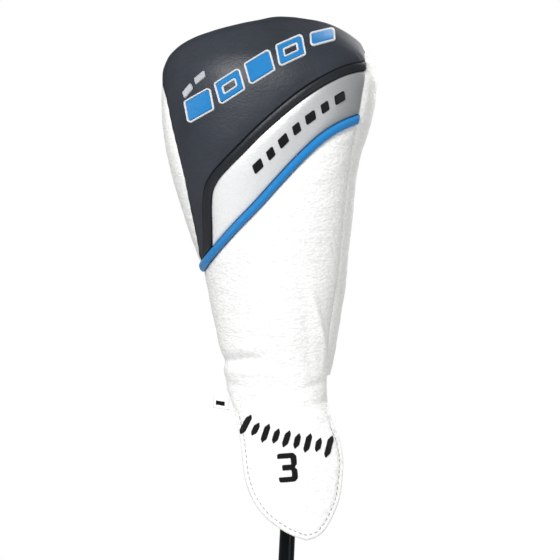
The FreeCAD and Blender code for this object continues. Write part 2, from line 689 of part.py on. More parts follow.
def region(name, *chains, far=FAR):
    """A prism along Y from a closed outline of 'smooth' and 'straight' chains of points.

    Gaps between chains, and from the last point to the first, are closed by straight edges.
    """
    def corner(point):
        return Vector(point[0], NEAR, COVER_Z + point[1])

    def straight(start, end):
        return Part.LineSegment(corner(start), corner(end)).toShape()

    edges, last, first = [], None, chains[0][1][0]
    for kind, points in chains:
        if last is not None and math.dist(last, points[0]) > 1e-6:
            edges.append(straight(last, points[0]))
        if kind == "smooth":
            curve = Part.BSplineCurve()
            curve.interpolate(Points=[corner(point) for point in points])
            edges.append(curve.toShape())
        else:
            edges += [straight(start, end) for start, end in zip(points, points[1:])]
        last = points[-1]
    if math.dist(last, first) > 1e-6:
        edges.append(straight(last, first))
    wire = Part.Wire(Part.__sortEdges__(edges))
    return extrude(name, wire, Vector(0, 1, 0), far - NEAR)


def shifted(points, distance):
    """The line moved sideways by distance, to the left of its direction."""
    moved = []
    for i, (x, z) in enumerate(points):
        before, after = points[max(i - 1, 0)], points[min(i + 1, len(points) - 1)]
        run_x, run_z = after[0] - before[0], after[1] - before[1]
        size = math.hypot(run_x, run_z)
        moved.append((x - distance * run_z / size, z + distance * run_x / size))
    return moved


def above_line(name, line, toe_points, heel_z):
    """The region over a line that runs heel to toe, closed by way of toe_points."""
    return region(name, ("smooth", line),
                  ("straight", toe_points + [(-140, 200), (80, 200), (80, heel_z)]))


def above_hem(name, low):
    return region(name, ("straight", [(-120, low), (120, low + HEM_RISE), (120, 220),
                                      (-120, 220)]))


def hem_rows(name, low, high):
    """A slanting strip parallel to the hem."""
    return region(name, ("straight", [(-120, low), (120, low + HEM_RISE),
                                      (120, high + HEM_RISE), (-120, high)]))


def half_space(name, far):
    """A block from the leaning plane that parts the cover's front half to y = far."""
    def plane_y(z):
        return -12.0 + (160.0 - z) * 7.0 / 240.0

    corners = [Vector(-150, y, COVER_Z + z) for y, z in (
        (plane_y(-200), -200), (plane_y(200), 200), (far, 200), (far, -200))]
    return extrude(name, Part.makePolygon(corners + corners[:1]), Vector(1, 0, 0), 300)


# ---------------------------------------------------------------- headcover front
front_outline = region("front_outline", ("smooth", SEAM_TOE), ("smooth", TONGUE),
                       ("smooth", SEAM_HEEL), ("straight", [(24, 175), (-96, 175)]))
front_block = common("front_block", front_outline, half_space("front_half", -200))
cover_shell = cut("cover_shell", cover_outer, panel_inner)
front_shell = common("front_shell", cover_shell, front_block)

# "_low" regions start at the strip's lower edge, the others at its upper edge
trim_half, piping_half = DIM["trim_half"], DIM["piping_half"]
above_trim = above_line("above_trim", shifted(TRIM, -trim_half), [(-59.5, -12), (-140, -12)], 140)
above_trim_low = above_line("above_trim_low", shifted(TRIM, trim_half),
                            [(-59.5, -60), (-140, -60)], 130)
above_piping = above_line("above_piping", shifted(PIPING, -piping_half), [(-140, -18)], 115)
above_piping_low = above_line("above_piping_low", shifted(PIPING, piping_half),
                              [(-140, -60)], 100)

upper = common("front_above_piping", front_shell, above_piping)
keep(common("top_panel_cut", upper, above_trim), "top_panel")
keep(cut("silver_band_cut", upper, above_trim_low), "silver_band")
keep(cut("front_panel_cut", front_shell, above_piping_low), "front_panel")

# the trim and the piping stand proud of the panels
trim_front = common("trim_front", cut("trim_shell", trim_skin, panel_inner), front_block)
trim_upper = common("trim_low_side", trim_front, above_piping)
trim_strip = common("trim_in_low", trim_upper, above_trim_low)
keep(cut("black_trim_cut", trim_strip, above_trim), "black_trim")
piping_front = common("piping_front", cut("piping_shell", piping_skin, panel_inner), front_block)
piping_strip = common("piping_in_low", piping_front, above_piping_low)
keep(cut("blue_piping_cut", piping_strip, above_piping), "blue_piping")

# ---------------------------------------------------------------- headcover back and sides
back_outline = region("back_outline", ("smooth", BACK))
back_block = common("back_block", back_outline, half_space("back_half", 200))
rear_shell = common("cover_shell_above_hem", cover_shell, above_hem("above_hem", -89.0))
keep(common("back_panel_cut", rear_shell, back_block), "back_panel")

sides = cut_in_turn(rear_shell, ("sides_without_front", front_block),
                    ("sides_without_back", back_block))
toe_side = region("toe_side", ("straight", [(-21, -200), (-160, -200), (-160, 200), (-21, 200)]))
keep(common("toe_gusset_cut", sides, toe_side), "toe_gusset")
keep(cut("heel_gusset_cut", sides, toe_side), "heel_gusset")

# ---------------------------------------------------------------- lining and neck elastic
ELASTIC_DEEP = 3.4                 # inset of the groove's floor in the lining
ELASTIC_GAP = 0.1                  # play on each face of the elastic
ELASTIC_LOW, ELASTIC_HIGH = -66.0, -52.0
ELASTIC_END_GAP = 1.0              # play at each end of the elastic along the axis

lining_shell = cut("lining_shell", lining_outer, lining_inner)
lining = common("lining_above_hem", lining_shell, above_hem("above_lining_hem", -83.0))
groove_floor = cover_form("cover_band_inner", ELASTIC_DEEP, OPEN_LOW)
groove = common("elastic_room", cut("elastic_shell", lining_outer, groove_floor),
                hem_rows("elastic_rows", ELASTIC_LOW, ELASTIC_HIGH))
keep(cut("fleece_lining_cut", lining, groove), "fleece_lining")

band_outer = cover_form("cover_band_outer", DIM["lining_gap"] + ELASTIC_GAP)
band_inner = cover_form("cover_band_inner_clear", ELASTIC_DEEP - ELASTIC_GAP, OPEN_LOW)
elastic = common("neck_elastic_cut", cut("elastic_ring", band_outer, band_inner),
                 hem_rows("elastic_band_rows", ELASTIC_LOW + ELASTIC_END_GAP,
                          ELASTIC_HIGH - ELASTIC_END_GAP))
keep(elastic, "neck_elastic")

# ---------------------------------------------------------------- stitched motifs on the front
# Paths the motifs follow, (x, z over cover_z)
BIG_PATH = [
    (-71.3, 96.6), (-59.0, 103.8), (-45.8, 113.1), (-32.6, 122.7), (-19.4, 131.9),
    (-6.7, 139.0), (6.3, 146.0), (14.0, 149.0),
]
SMALL_PATH = [(-74.5, 106.0), (-68.0, 114.5), (-59.0, 122.5)]
BAND_PATH = [
    (-30.4, 63.6), (-21.4, 73.2), (-10.2, 85.6), (1.2, 95.9), (12.6, 104.9), (24.3, 113.1),
]
BAR_PATH = [(-32.0, -88.5), (-18.6, -93.6), (-1.3, -97.4), (15.9, -99.8), (28.0, -101.6)]
BAR_HALVES = (7.4, 5.0, 6.6, 5.4, 6.0, 5.4, 6.6, 5.0, 7.4)   # half height of each tongue bar
NUMBER_PATH = [(-2.0, -114.5), (-1.0, -114.37)]
# the figure 3 in block strokes, (along, across) its path
THREE = [
    (-5.0, 9.0), (4.0, 9.0), (6.0, 7.0), (6.0, 1.6), (4.4, 0.0), (6.0, -1.6), (6.0, -7.0),
    (4.0, -9.0), (-5.0, -9.0), (-6.0, -8.0), (-6.0, -5.6), (2.2, -5.6), (2.2, -1.8),
    (-3.4, -1.8), (-3.4, 1.8), (2.2, 1.8), (2.2, 5.6), (-6.0, 5.6), (-6.0, 8.0),
]
BIG_LEAN = 0.30
RIM_WIDE = 0.95                    # outline round each big block
SLOT_RIM_IN, SLOT_IN = 3.2, 4.0    # how far a slot's outline and the slot lie inside the block

motif_shell = cut("motif_shell", motif_skin, cover_outer)


def along(path, distance):
    """Point and direction at a distance along a polyline."""
    left = distance
    for start, end in zip(path, path[1:]):
        size = math.dist(start, end)
        if left <= size or end is path[-1]:
            run = ((end[0] - start[0]) / size, (end[1] - start[1]) / size)
            return (start[0] + run[0] * left, start[1] + run[1] * left), run
        left -= size


def laid_prism(name, path, distance, points, lean=0.0):
    """A prism of (along, across) points laid on the path, leaning along it."""
    (x, z), (run_x, run_z) = along(path, distance)
    laid = []
    for ahead, across in points:
        ahead += lean * across
        laid.append((x + run_x * ahead - run_z * across, z + run_z * ahead + run_x * across))
    return region(name, ("straight", laid), far=0.0)


def block_points(half_long, half_wide, clip=1.4):
    """A rectangle with two opposite corners clipped."""
    return [(-half_long, -half_wide + clip), (-half_long + clip, -half_wide),
            (half_long, -half_wide), (half_long, half_wide - clip),
            (half_long - clip, half_wide), (-half_long, half_wide)]


def bar_points(half):
    """A slim upright bar with slanted ends."""
    return [(0, -half), (2.1, -half + 3.2), (1.7, half - 2.4),
            (0, half), (-2.1, half - 3.2), (-1.7, -half + 2.4)]


def motif(label, prisms):
    """The raised stitching of one colour: every prism cut out of a tile of the motif layer."""
    doc.recompute()
    box = FreeCAD.BoundBox()
    for prism in prisms:
        box.add(prism.Shape.BoundBox)
    tile = Part.makeBox(box.XLength + 6, 110, box.ZLength + 6,
                        Vector(box.XMin - 3, NEAR, box.ZMin - 3))
    tile = motif_shell.Shape.common(tile)
    shapes = []
    for prism in prisms:
        shapes += tile.common(prism.Shape).Solids
    keep(feature(label + "_stitched", Part.makeCompound(shapes)), label)


def big_block(i):
    """Fill and outlines of one big block; every second block has a slot in its middle."""
    half_long, half_wide = (8.0, 5.8) if i < 4 else (7.0, 3.6)

    def grown(name, grow, clip):
        return laid_prism("%s_%d" % (name, i), BIG_PATH, 7.6 + 21.2 * i,
                          block_points(half_long + grow, half_wide + grow, clip), BIG_LEAN)

    rim = grown("rim", RIM_WIDE, 1.4)
    fill = grown("fill", 0.0, 1.4)
    ring = cut("ring_%d" % i, rim, fill)
    if i % 2 == 0:
        return fill, [ring]
    slot_rim = grown("slot_rim", -SLOT_RIM_IN, 0.6)
    slot = grown("slot", -SLOT_IN, 0.4)
    open_fill = cut("fill_open_%d" % i, fill, slot_rim)
    return open_fill, [cut("slot_ring_%d" % i, slot_rim, slot), ring]


big_blocks = [big_block(i) for i in range(5)]
motif("blue_motif", [fill for fill, _ in big_blocks])
motif("blue_motif_outline", [ring for _, rings in big_blocks for ring in rings])
motif("small_motif", [
    laid_prism("small_%d" % i, SMALL_PATH, distance, block_points(4.0, 2.0, 0.8), 0.5)
    for i, distance in enumerate((4.0, 14.5))])
motif("band_motif", [
    laid_prism("band_%d" % i, BAND_PATH, 3.2 + 10.6 * i,
               block_points(2.9 if i % 2 else 3.7, 2.7, 0.9), 0.45)
    for i in range(7)])
motif("tongue_motif", [
    laid_prism("bar_%d" % i, BAR_PATH, 3.4 + 6.6 * i, bar_points(half), 0.1)
    for i, half in enumerate(BAR_HALVES)])
motif("club_number", [laid_prism("three", NUMBER_PATH, 0.0, THREE)])

# ---------------------------------------------------------------- topstitch on the tongue's hem
HEM_PATH = [
    (-29.9, -99.2), (-28.8, -104.3), (-26.9, -117.0), (-24.2, -126.6), (-20.4, -134.0),
    (-14.8, -141.2), (-8.8, -146.2), (-2.6, -150.0), (5.0, -153.4), (12.0, -155.4),
    (17.2, -153.6), (21.4, -148.9), (25.6, -140.7), (28.8, -130.4), (29.8, -118.1),
    (29.4, -110.5),
]
STITCH_LONG, STITCH_WIDE, STITCH_HIGH = 2.7, 0.64, 0.55
STITCH_LIFT = 0.1       # gap between the cover and a stitch
STITCH_PITCH = 3.7
STITCH_FIRST, STITCH_MARGIN = 2.0, 1.0

cover_surface = max(cover_outer.Shape.Faces, key=lambda face: face.Area).Surface


def stitch_at(distance):
    """One stitch lying on the cover's skin, in line with the hem."""
    (x, z), (run_x, run_z) = along(HEM_PATH, distance)
    foot = cover_surface.value(*cover_surface.parameter(Vector(x, -27.0, COVER_Z + z)))
    out = cover_surface.normal(*cover_surface.parameter(foot))
    if out.y > 0:  # the stitch stands out of the front, towards -Y
        out = -out
    run = Vector(run_x, 0, run_z)
    run = (run - out * run.dot(out)).normalize()
    side = out.cross(run)
    stitch = Part.makeBox(STITCH_LONG, STITCH_WIDE, STITCH_HIGH,
                          Vector(-STITCH_LONG / 2, -STITCH_WIDE / 2, STITCH_LIFT))
    stitch.transformShape(FreeCAD.Matrix(run.x, side.x, out.x, foot.x,
                                         run.y, side.y, out.y, foot.y,
                                         run.z, side.z, out.z, foot.z,
                                         0, 0, 0, 1))
    return stitch


hem_length = sum(math.dist(start, end) for start, end in zip(HEM_PATH, HEM_PATH[1:]))
stitches, distance = [], STITCH_FIRST
while distance < hem_length - STITCH_MARGIN:
    stitches.append(stitch_at(distance))
    distance += STITCH_PITCH
keep(feature("tongue_stitch_row", Part.makeCompound(stitches)), "tongue_stitches")

# ---------------------------------------------------------------- seam tag
# small folded tag sewn into the toe-side seam at the neck
tag_place = Placement(Vector(-53.2, -7.6, COVER_Z - 79.5), Rotation(Vector(0, 1, 0), -6))
tag = solid_of("Box", "seam_tag_box", tag_place, Length=10.5, Width=0.9, Height=11.0)
keep(round_all("seam_tag_round", tag, 0.3), "seam_tag")
doc.recompute()

# ---------------------------------------------------------------- checks, then one STEP per piece
failed = [thing.Name for thing in doc.Objects
          if "Invalid" in thing.State or "Error" in thing.State]
if failed:
    raise SystemExit("failed objects: %s" % failed)
for thing, label in KEPT:
    shape = thing.Shape
    if shape.isNull() or not shape.isValid() or not shape.Solids or shape.Volume <= 0:
        raise SystemExit("%s is empty or not valid" % label)
for thing, label in KEPT:
    thing.Shape.exportStep("parts/%s.step" % label)
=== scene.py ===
"""A fairway wood in its sewn headcover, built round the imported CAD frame.

The cover's crown is up (+Z), its front faces -Y, its toe side -X and its heel side +X. A tongue
hangs from the front, below the hem. Cover sizes are millimetres with z measured from the cover's
datum, and become metres when a mesh is made.

The cover's outer form is a stack of stations. A place on it is (u, v): u is the arc fraction from
the front middle, positive towards the heel, and v is the length along the profile from the bottom.
Each panel is meshed inside its seam lines in (u, v), so neighbours meet along one line.
"""

import json
import math
from collections import namedtuple

import bmesh
import bpy
import numpy as np
from mathutils import Matrix, Vector, kdtree, noise
from mathutils.bvhtree import BVHTree
from mathutils.geometry import delaunay_2d_cdt


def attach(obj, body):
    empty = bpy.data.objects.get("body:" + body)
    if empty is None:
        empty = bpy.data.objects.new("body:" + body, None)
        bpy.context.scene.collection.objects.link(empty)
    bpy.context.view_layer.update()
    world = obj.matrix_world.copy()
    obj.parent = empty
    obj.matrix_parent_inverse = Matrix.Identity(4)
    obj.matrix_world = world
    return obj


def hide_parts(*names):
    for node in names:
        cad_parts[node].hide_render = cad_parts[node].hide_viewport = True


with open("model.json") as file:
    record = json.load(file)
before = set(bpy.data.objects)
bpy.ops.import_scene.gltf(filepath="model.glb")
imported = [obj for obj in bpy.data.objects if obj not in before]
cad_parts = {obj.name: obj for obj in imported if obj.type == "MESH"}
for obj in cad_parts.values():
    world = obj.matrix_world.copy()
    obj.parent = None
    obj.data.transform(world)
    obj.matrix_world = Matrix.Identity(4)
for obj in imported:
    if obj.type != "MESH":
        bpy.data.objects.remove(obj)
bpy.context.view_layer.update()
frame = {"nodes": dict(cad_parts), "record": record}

DATUM_Z = 1012.0  # the cover's datum above the world origin

# ------------------------------------------------------------------ small geometry helpers


def running(lengths):
    """Running total that starts at zero."""
    return np.concatenate([[0], np.cumsum(lengths)])


def lengths_of(line):
    return np.linalg.norm(np.diff(line, axis=0), axis=1)


def unit(vectors):
    return vectors / np.maximum(np.linalg.norm(vectors, axis=-1, keepdims=True), 1e-9)


def hermite(start, end, start_slope, end_slope, span, t):
    return ((2 * t**3 - 3 * t**2 + 1) * start + (t**3 - 2 * t**2 + t) * span * start_slope
            + (-2 * t**3 + 3 * t**2) * end + (t**3 - t**2) * span * end_slope)


def monotone_cubic(knots, values, at):
    """Curve through (knots, values) that never overshoots between them."""
    span = np.diff(knots)
    rise = np.diff(values) / span
    slope = np.zeros(len(knots))
    slope[0], slope[-1] = rise[0], rise[-1]
    for i in range(1, len(knots) - 1):
        if rise[i - 1] * rise[i] > 0:
            before, after = 2 * span[i] + span[i - 1], span[i] + 2 * span[i - 1]
            slope[i] = (before + after) / (before / rise[i - 1] + after / rise[i])
    at = np.asarray(at, float)
    k = np.clip(np.searchsorted(knots, at) - 1, 0, len(knots) - 2)
    t = np.clip((at - knots[k]) / span[k], 0, 1)
    return hermite(values[k], values[k + 1], slope[k], slope[k + 1], span[k], t)


def smooth_line(points, step=1.2):
    """Centripetal curve through points, sampled about every step."""
    points = np.array(points, float)
    knots = running(lengths_of(points) ** 0.5)
    slope = np.gradient(points, knots, axis=0)
    out = []
    for i in range(len(points) - 1):
        n = max(2, int(np.linalg.norm(points[i + 1] - points[i]) / step) + 1)
        t = np.linspace(0, 1, n, endpoint=False)[:, None]
        span = knots[i + 1] - knots[i]
        out.append(hermite(points[i], points[i + 1], slope[i], slope[i + 1], span, t))
    out.append(points[-1:])
    return np.concatenate(out)


def offset_line(line, distance):
    """The line moved sideways, to the left of its direction when distance is positive."""
    ahead = unit(np.gradient(line, axis=0))
    return line + distance * np.stack([-ahead[:, 1], ahead[:, 0]], axis=1)


def inside(polygon, points):
    """Even-odd test of many points against a closed polygon."""
    x, y = points[:, 0], points[:, 1]
    result = np.zeros(len(points), bool)
    for p, q in zip(polygon, np.roll(polygon, -1, axis=0)):
        if p[1] == q[1]:
            continue
        hit = (p[1] > y) != (q[1] > y)
        result ^= hit & (x < (q[0] - p[0]) * (y - p[1]) / (q[1] - p[1]) + p[0])
    return result


def dense(polygon, step):
    """A closed polygon with points added so that no side is longer than step."""
    out = []
    for i in range(len(polygon)):
        p, q = np.array(polygon[i]), np.array(polygon[(i + 1) % len(polygon)])
        n = max(1, int(math.ceil(np.linalg.norm(q - p) / step)))
        out += [p + (q - p) * t / n for t in range(n)]
    return np.array(out)


def point_tree(points):
    """Nearest-point tree of points in the plane or in space."""
    tree = kdtree.KDTree(len(points))
    for i, point in enumerate(points):
        tree.insert((*point, 0.0)[:3], i)
    tree.balance()
    return tree


def distance_to(tree, point):
    return tree.find((*point, 0.0)[:3])[2]


def line_distance(x, z, line):
    """Distance in (x, z) from points to a polyline and how far along it, 0 to 1."""
    best, share = np.full(len(x), 1e9), np.zeros(len(x))
    line = np.array(line, float)
    lengths = lengths_of(line)
    total = running(lengths)
    for k in range(len(line) - 1):
        p, side = line[k], line[k + 1] - line[k]
        t = ((x - p[0]) * side[0] + (z - p[1]) * side[1]) / max(side @ side, 1e-9)
        t = np.clip(t, 0, 1)
        distance = np.hypot(x - p[0] - side[0] * t, z - p[1] - side[1] * t)
        near = distance < best
        best[near], share[near] = distance[near], (total[k] + lengths[k] * t[near]) / total[-1]
    return best, share


def tube_faces(rings, count, base=0):
    """Quads between closed rings of count points."""
    faces = []
    for i in range(rings - 1):
        for j in range(count):
            a, b = base + i * count + j, base + i * count + (j + 1) % count
            faces.append([a, b, b + count, a + count])
    return faces


def strip_faces(rows, width, base=0, closed=False):
    """Quads between open rows of width points; closed joins the last row to the first."""
    faces = []
    for i in range(rows if closed else rows - 1):
        for k in range(width - 1):
            a, b = base + i * width + k, base + ((i + 1) % rows) * width + k
            faces.append([a, b, b + 1, a + 1])
    return faces


# ------------------------------------------------------------------ the cover's outer form
# z, toe x, heel x, front y, back y, power of the superellipse
STATIONS = np.array([
    (-170, -40, 42, -23, 22, 2.2), (-140, -40, 42, -25, 22, 2.2),
    (-118, -40.5, 41, -27, 22, 2.2), (-100, -41, 37, -29, 22, 2.2),
    (-85, -41, 30, -31, 22.5, 2.2), (-71, -41.6, 21.5, -33.5, 23, 2.2),
    (-55, -44, 22.8, -38, 24, 2.2), (-40, -47.8, 24, -43, 25, 2.25),
    (-20, -53, 25.8, -50, 26, 2.3), (0, -58.3, 27.6, -57.5, 27.5, 2.35),
    (20, -66, 28.8, -64.5, 28.5, 2.4), (40, -73, 30.2, -70.5, 29.8, 2.45),
    (60, -80.3, 30.8, -75, 31.4, 2.5), (75, -84.2, 32.6, -77, 33.2, 2.5),
    (88, -86.8, 35.8, -78, 34, 2.5), (100, -88.5, 38.8, -78.2, 34, 2.5),
    (112, -89.5, 40.6, -77.5, 33.4, 2.5), (121, -89.2, 41.0, -75.8, 32.2, 2.5),
    (130, -86.6, 40.0, -72.4, 30, 2.45), (138, -80.2, 37.2, -67, 26, 2.4),
    (144, -71.2, 32.2, -60.5, 20.5, 2.35), (149, -59.5, 26.0, -53, 13.5, 2.3),
    (153.5, -45.5, 18.0, -45, 5, 2.25), (157, -32, 8, -36.5, -5.5, 2.2),
    (159.2, -24, -6, -29, -15, 2.2), (159.9, -19.5, -10.5, -25.5, -18.5, 2.1),
    (160.1, -15.6, -14.4, -22.6, -21.4, 2.0),
], float)

Z_FINE = np.unique(np.concatenate([
    np.linspace(-170, 140, 1200), np.linspace(140, 158, 400), np.linspace(158, 160.1, 400)]))
PROFILES = [monotone_cubic(STATIONS[:, 0], STATIONS[:, k], Z_FINE) for k in range(1, 6)]
TOE_X, HEEL_X = PROFILES[:2]
mean_slope = sum(np.abs(np.gradient(side, Z_FINE)) for side in PROFILES[:4]) / 4
V_FINE = running(np.sqrt(1 + ((mean_slope[1:] + mean_slope[:-1]) / 2) ** 2) * np.diff(Z_FINE))
V_MAX = V_FINE[-1]
ROWS, COLUMNS = 520, 720
V_ROW = np.linspace(0, V_MAX, ROWS)


def build_form():
    """Grid of points on the form, their normals, and the perimeter of each row."""
    grid = np.zeros((ROWS, COLUMNS + 1, 3))
    perimeters = np.zeros(ROWS)
    angle = np.linspace(-math.pi / 2, 1.5 * math.pi, 1441)
    c, s = np.cos(angle), np.sin(angle)
    for i, z in enumerate(np.interp(V_ROW, V_FINE, Z_FINE)):
        toe_x, heel_x, front_y, back_y, power = (
            float(np.interp(z, Z_FINE, side)) for side in PROFILES)
        x = (toe_x + heel_x) / 2 + (heel_x - toe_x) / 2 * np.sign(c) * np.abs(c) ** (2 / power)
        y = (front_y + back_y) / 2 + (back_y - front_y) / 2 * np.sign(s) * np.abs(s) ** (2 / power)
        arc = running(np.hypot(np.diff(x), np.diff(y)))
        perimeters[i] = arc[-1]
        at = np.linspace(0, arc[-1], COLUMNS + 1)
        grid[i, :, 0], grid[i, :, 1], grid[i, :, 2] = np.interp(at, arc, x), np.interp(at, arc, y), z
    along_u = np.zeros_like(grid)
    along_u[:, 1:-1] = grid[:, 2:] - grid[:, :-2]
    along_u[:, 0] = along_u[:, -1] = grid[:, 1] - grid[:, -2]
    along_v = np.zeros_like(grid)
    along_v[1:-1] = grid[2:] - grid[:-2]
    along_v[0], along_v[-1] = grid[1] - grid[0], grid[-1] - grid[-2]
    normals = unit(np.cross(along_u, along_v))
    normals[-3:] = (0, 0, 1)
    return grid, normals, perimeters


FORM, NORMALS, PERIMETERS = build_form()


def v_of(z):
    return np.interp(z, Z_FINE, V_FINE)


def perimeter(v):
    return np.interp(v, V_ROW, PERIMETERS)


def form(u, v, grid=FORM):
    """Point of the outer form, or its normal when the grid is NORMALS."""
    column = (np.asarray(u, float) % 1.0) * COLUMNS
    row = np.clip(np.asarray(v, float) / V_MAX, 0, 1) * (ROWS - 1)
    i = np.minimum(row.astype(int), ROWS - 2)
    j = np.minimum(column.astype(int), COLUMNS - 1)
    a, b = (row - i)[..., None], (column - j)[..., None]
    return (grid[i, j] * (1 - a) * (1 - b) + grid[i + 1, j] * a * (1 - b)
            + grid[i, j + 1] * (1 - a) * b + grid[i + 1, j + 1] * a * b)


def row_at(z):
    row = min(max(float(v_of(z)) / V_MAX, 0), 1) * (ROWS - 1)
    i = min(int(row), ROWS - 2)
    return FORM[i] * (1 - (row - i)) + FORM[i + 1] * (row - i)


def u_front(x, z):
    """u of the front point at x; beyond the silhouette it goes on by arc length."""
    row = row_at(z)
    toe_start, heel_end = COLUMNS * 3 // 5, COLUMNS * 2 // 5
    xs = np.concatenate([row[toe_start:-1, 0], row[:heel_end, 0]])
    us = np.concatenate([np.arange(toe_start, COLUMNS) / COLUMNS - 1.0, np.arange(heel_end) / COLUMNS])
    low, high = int(np.argmin(xs)), int(np.argmax(xs))
    xs, us = xs[low:high + 1], us[low:high + 1]
    if x < xs[0]:
        return us[0] + (x - xs[0]) / float(perimeter(float(v_of(z))))
    if x > xs[-1]:
        return us[-1] + (x - xs[-1]) / float(perimeter(float(v_of(z))))
    return float(np.interp(x, xs, us))


def u_back(x, z):
    columns = np.arange(COLUMNS // 5, COLUMNS * 4 // 5)
    xs = row_at(z)[columns, 0]
    first, last = int(np.argmax(xs)), int(np.argmin(xs))
    return float(np.interp(-x, -xs[first:last + 1], columns[first:last + 1] / COLUMNS))


def u_side(y, z, toe_side):
    """u where the side wall reaches y."""
    row = row_at(z)
    if toe_side:
        columns = np.arange(COLUMNS // 2, COLUMNS)
        return float(np.interp(-y, -row[columns, 1], columns / COLUMNS)) - 1.0
    columns = np.arange(0, COLUMNS // 2 + 1)
    return float(np.interp(y, row[columns, 1], columns / COLUMNS))


def to_uv(line, u_at=u_front):
    return np.array([(u_at(x, z), float(v_of(z))) for x, z in line])


# ------------------------------------------------------------------ seam lines, points in (x, z)
TONGUE_TIP_Z = -159.1
SEAM_TOE = [
    (-87.1, 107), (-82.3, 89.2), (-78.6, 76.7), (-73.6, 59.5), (-69.0, 40.7), (-64.2, 21)]
SEAM_HEEL = [
    (20.4, -53.6), (19.6, -44.5), (20.4, -30), (21.9, -12), (23.6, 6), (24.6, 25), (25.2, 44),
    (26.2, 61.4), (28.0, 80), (30.4, 96.6), (32.2, 109.2), (33.6, 120.2), (33.9, 127.1),
    (33.9, 133.0), (33.2, 139.0)]
TONGUE_TOE = [
    (-39.9, -75.0), (-38.2, -79.0), (-36.2, -85), (-33.6, -94.7), (-31.7, -103.6),
    (-29.8, -116.6), (-26.9, -127.5), (-22.8, -135.8), (-16.9, -143.6), (-10.5, -149.1),
    (-4.0, -153.2), (4.4, -157.0), (12.0, TONGUE_TIP_Z)]
TONGUE_HEEL = [
    (20.7, -66.0), (21.2, -72), (23.0, -80), (26.5, -89), (29.9, -96.1), (32.2, -105.3),
    (32.8, -118.1), (31.8, -131.0), (28.4, -142.1), (23.6, -151.4), (18.4, -156.8),
    (12.0, TONGUE_TIP_Z)]
TRIM = [
    (60.0, 134.0), (44.0, 133.0), (32.9, 130.3), (22.0, 126.4), (9.6, 119.4), (-3.6, 109.9),
    (-16.7, 98.3), (-29.6, 85.6), (-39.0, 75.2), (-47.5, 66.0), (-53.6, 58.6), (-57.2, 51.0),
    (-58.0, 42.6), (-57.4, 29.1), (-56.9, 18.0), (-56.6, 4.0), (-56.4, -12.0)]
PIPING = [
    (60.0, 108.0), (44.0, 102.6), (30.6, 97.6), (20.4, 92.4), (10.6, 85.6), (-1.9, 73.4),
    (-14.8, 58.5), (-27.7, 42.9), (-40.8, 28.4), (-52.6, 14.6), (-60.0, 5.2), (-68.0, -6.0),
    (-76, -18)]
BACK = [
    (-37.0, -71.5), (-40.5, -50), (-47.0, -20), (-58.0, 20), (-71.5, 60), (-78.0, 90),
    (-79.5, 112), (-74.5, 128), (-63.0, 138.5), (-44.0, 147), (-22.0, 151.0), (0.0, 148),
    (18.0, 139.5), (28.5, 127), (31.0, 112), (27.5, 90), (23.5, 60), (21.5, 20),
    (19.5, -20), (17.5, -50), (16.8, -58.5)]
# (z, share of the way from the silhouette to the middle of the side wall)
TOE_REACH = [
    (4.5, 0.03), (-8.0, 0.5), (-20.0, 0.9), (-34.0, 1.0), (-48.0, 1.0), (-60, 1.0), (-67.0, 0.9),
    (116.0, -0.03), (123.0, 0.25), (130.0, 0.7), (136.0, 1.0), (141, 1.0), (147, 1.0),
    (152, 1.0), (156, 1.0)]
HEEL_REACH = [(144.0, 0.0), (148.5, 0.22), (152.0, 0.6), (154.5, 0.93), (157, 1.0)]
HALF_TRIM, HALF_PIPE = 2.7, 2.45
CROWN_Z = 158.5  # the seams of both sides have met their u of +-0.5 here


def panel_edge(seam, reach, toe_side):
    """Side edge of the front region as (u, v) points, from the tongue's tip to the crown."""
    sign = -1 if toe_side else 1
    silhouette = TOE_X if toe_side else HEEL_X
    rows = [(float(v_of(z)), u_front(x, z)) for x, z in seam]
    for z, share in reach:
        middle = u_side(-12.0 + (160.0 - z) * 7.0 / 240.0, z, toe_side)
        outline = u_front(float(np.interp(z, Z_FINE, silhouette)) - sign * 0.01, z)
        rows.append((float(v_of(z)), outline + (middle - outline) * share))
    rows += [(float(v_of(CROWN_Z)), sign * 0.5), (V_MAX, sign * 0.5)]
    table = np.array(sorted(rows))
    v = np.linspace(V_TIP, V_MAX, max(2, int((V_MAX - V_TIP) / 1.2) + 1))
    return np.stack([monotone_cubic(table[:, 0], table[:, 1], v), v], axis=1)


def gap(p, q):
    """Distance on the form between two (u, v) points close together."""
    return np.linalg.norm((p - q) * np.array([float(perimeter(p[1])), 1.0]))


def tidy(line, step=0.7):
    keep = [line[0]]
    for p in line[1:]:
        if gap(p, keep[-1]) > step:
            keep.append(p)
    return np.array(keep)


Crossing = namedtuple("Crossing", "first second point")


def crossing(a, b):
    """First crossing of two (u, v) polylines: index on a, index on b, point."""
    for i in range(len(a) - 1):
        p, r = a[i], a[i + 1] - a[i]
        q, s = b[:-1], b[1:] - b[:-1]
        det = r[0] * s[:, 1] - r[1] * s[:, 0]
        det = np.where(np.abs(det) < 1e-15, 1e-15, det)
        w = q - p
        t = (w[:, 0] * s[:, 1] - w[:, 1] * s[:, 0]) / det
        k = (w[:, 0] * r[1] - w[:, 1] * r[0]) / det
        hit = np.where((t >= 0) & (t <= 1) & (k >= 0) & (k <= 1))[0]
        if len(hit):
            j = int(hit[np.argmin(t[hit])])
            return Crossing(i, j, p + r * t[j])
    raise RuntimeError("seam lines do not cross")


def between(line, i, j, first=None, last=None):
    """Points of a line between segments i and j, in that direction, with end points put on."""
    part = [first] if first is not None else []
    part += list(line[i + 1:j + 1] if i <= j else line[j + 1:i + 1][::-1])
    if last is not None:
        part.append(last)
    return np.array(part)


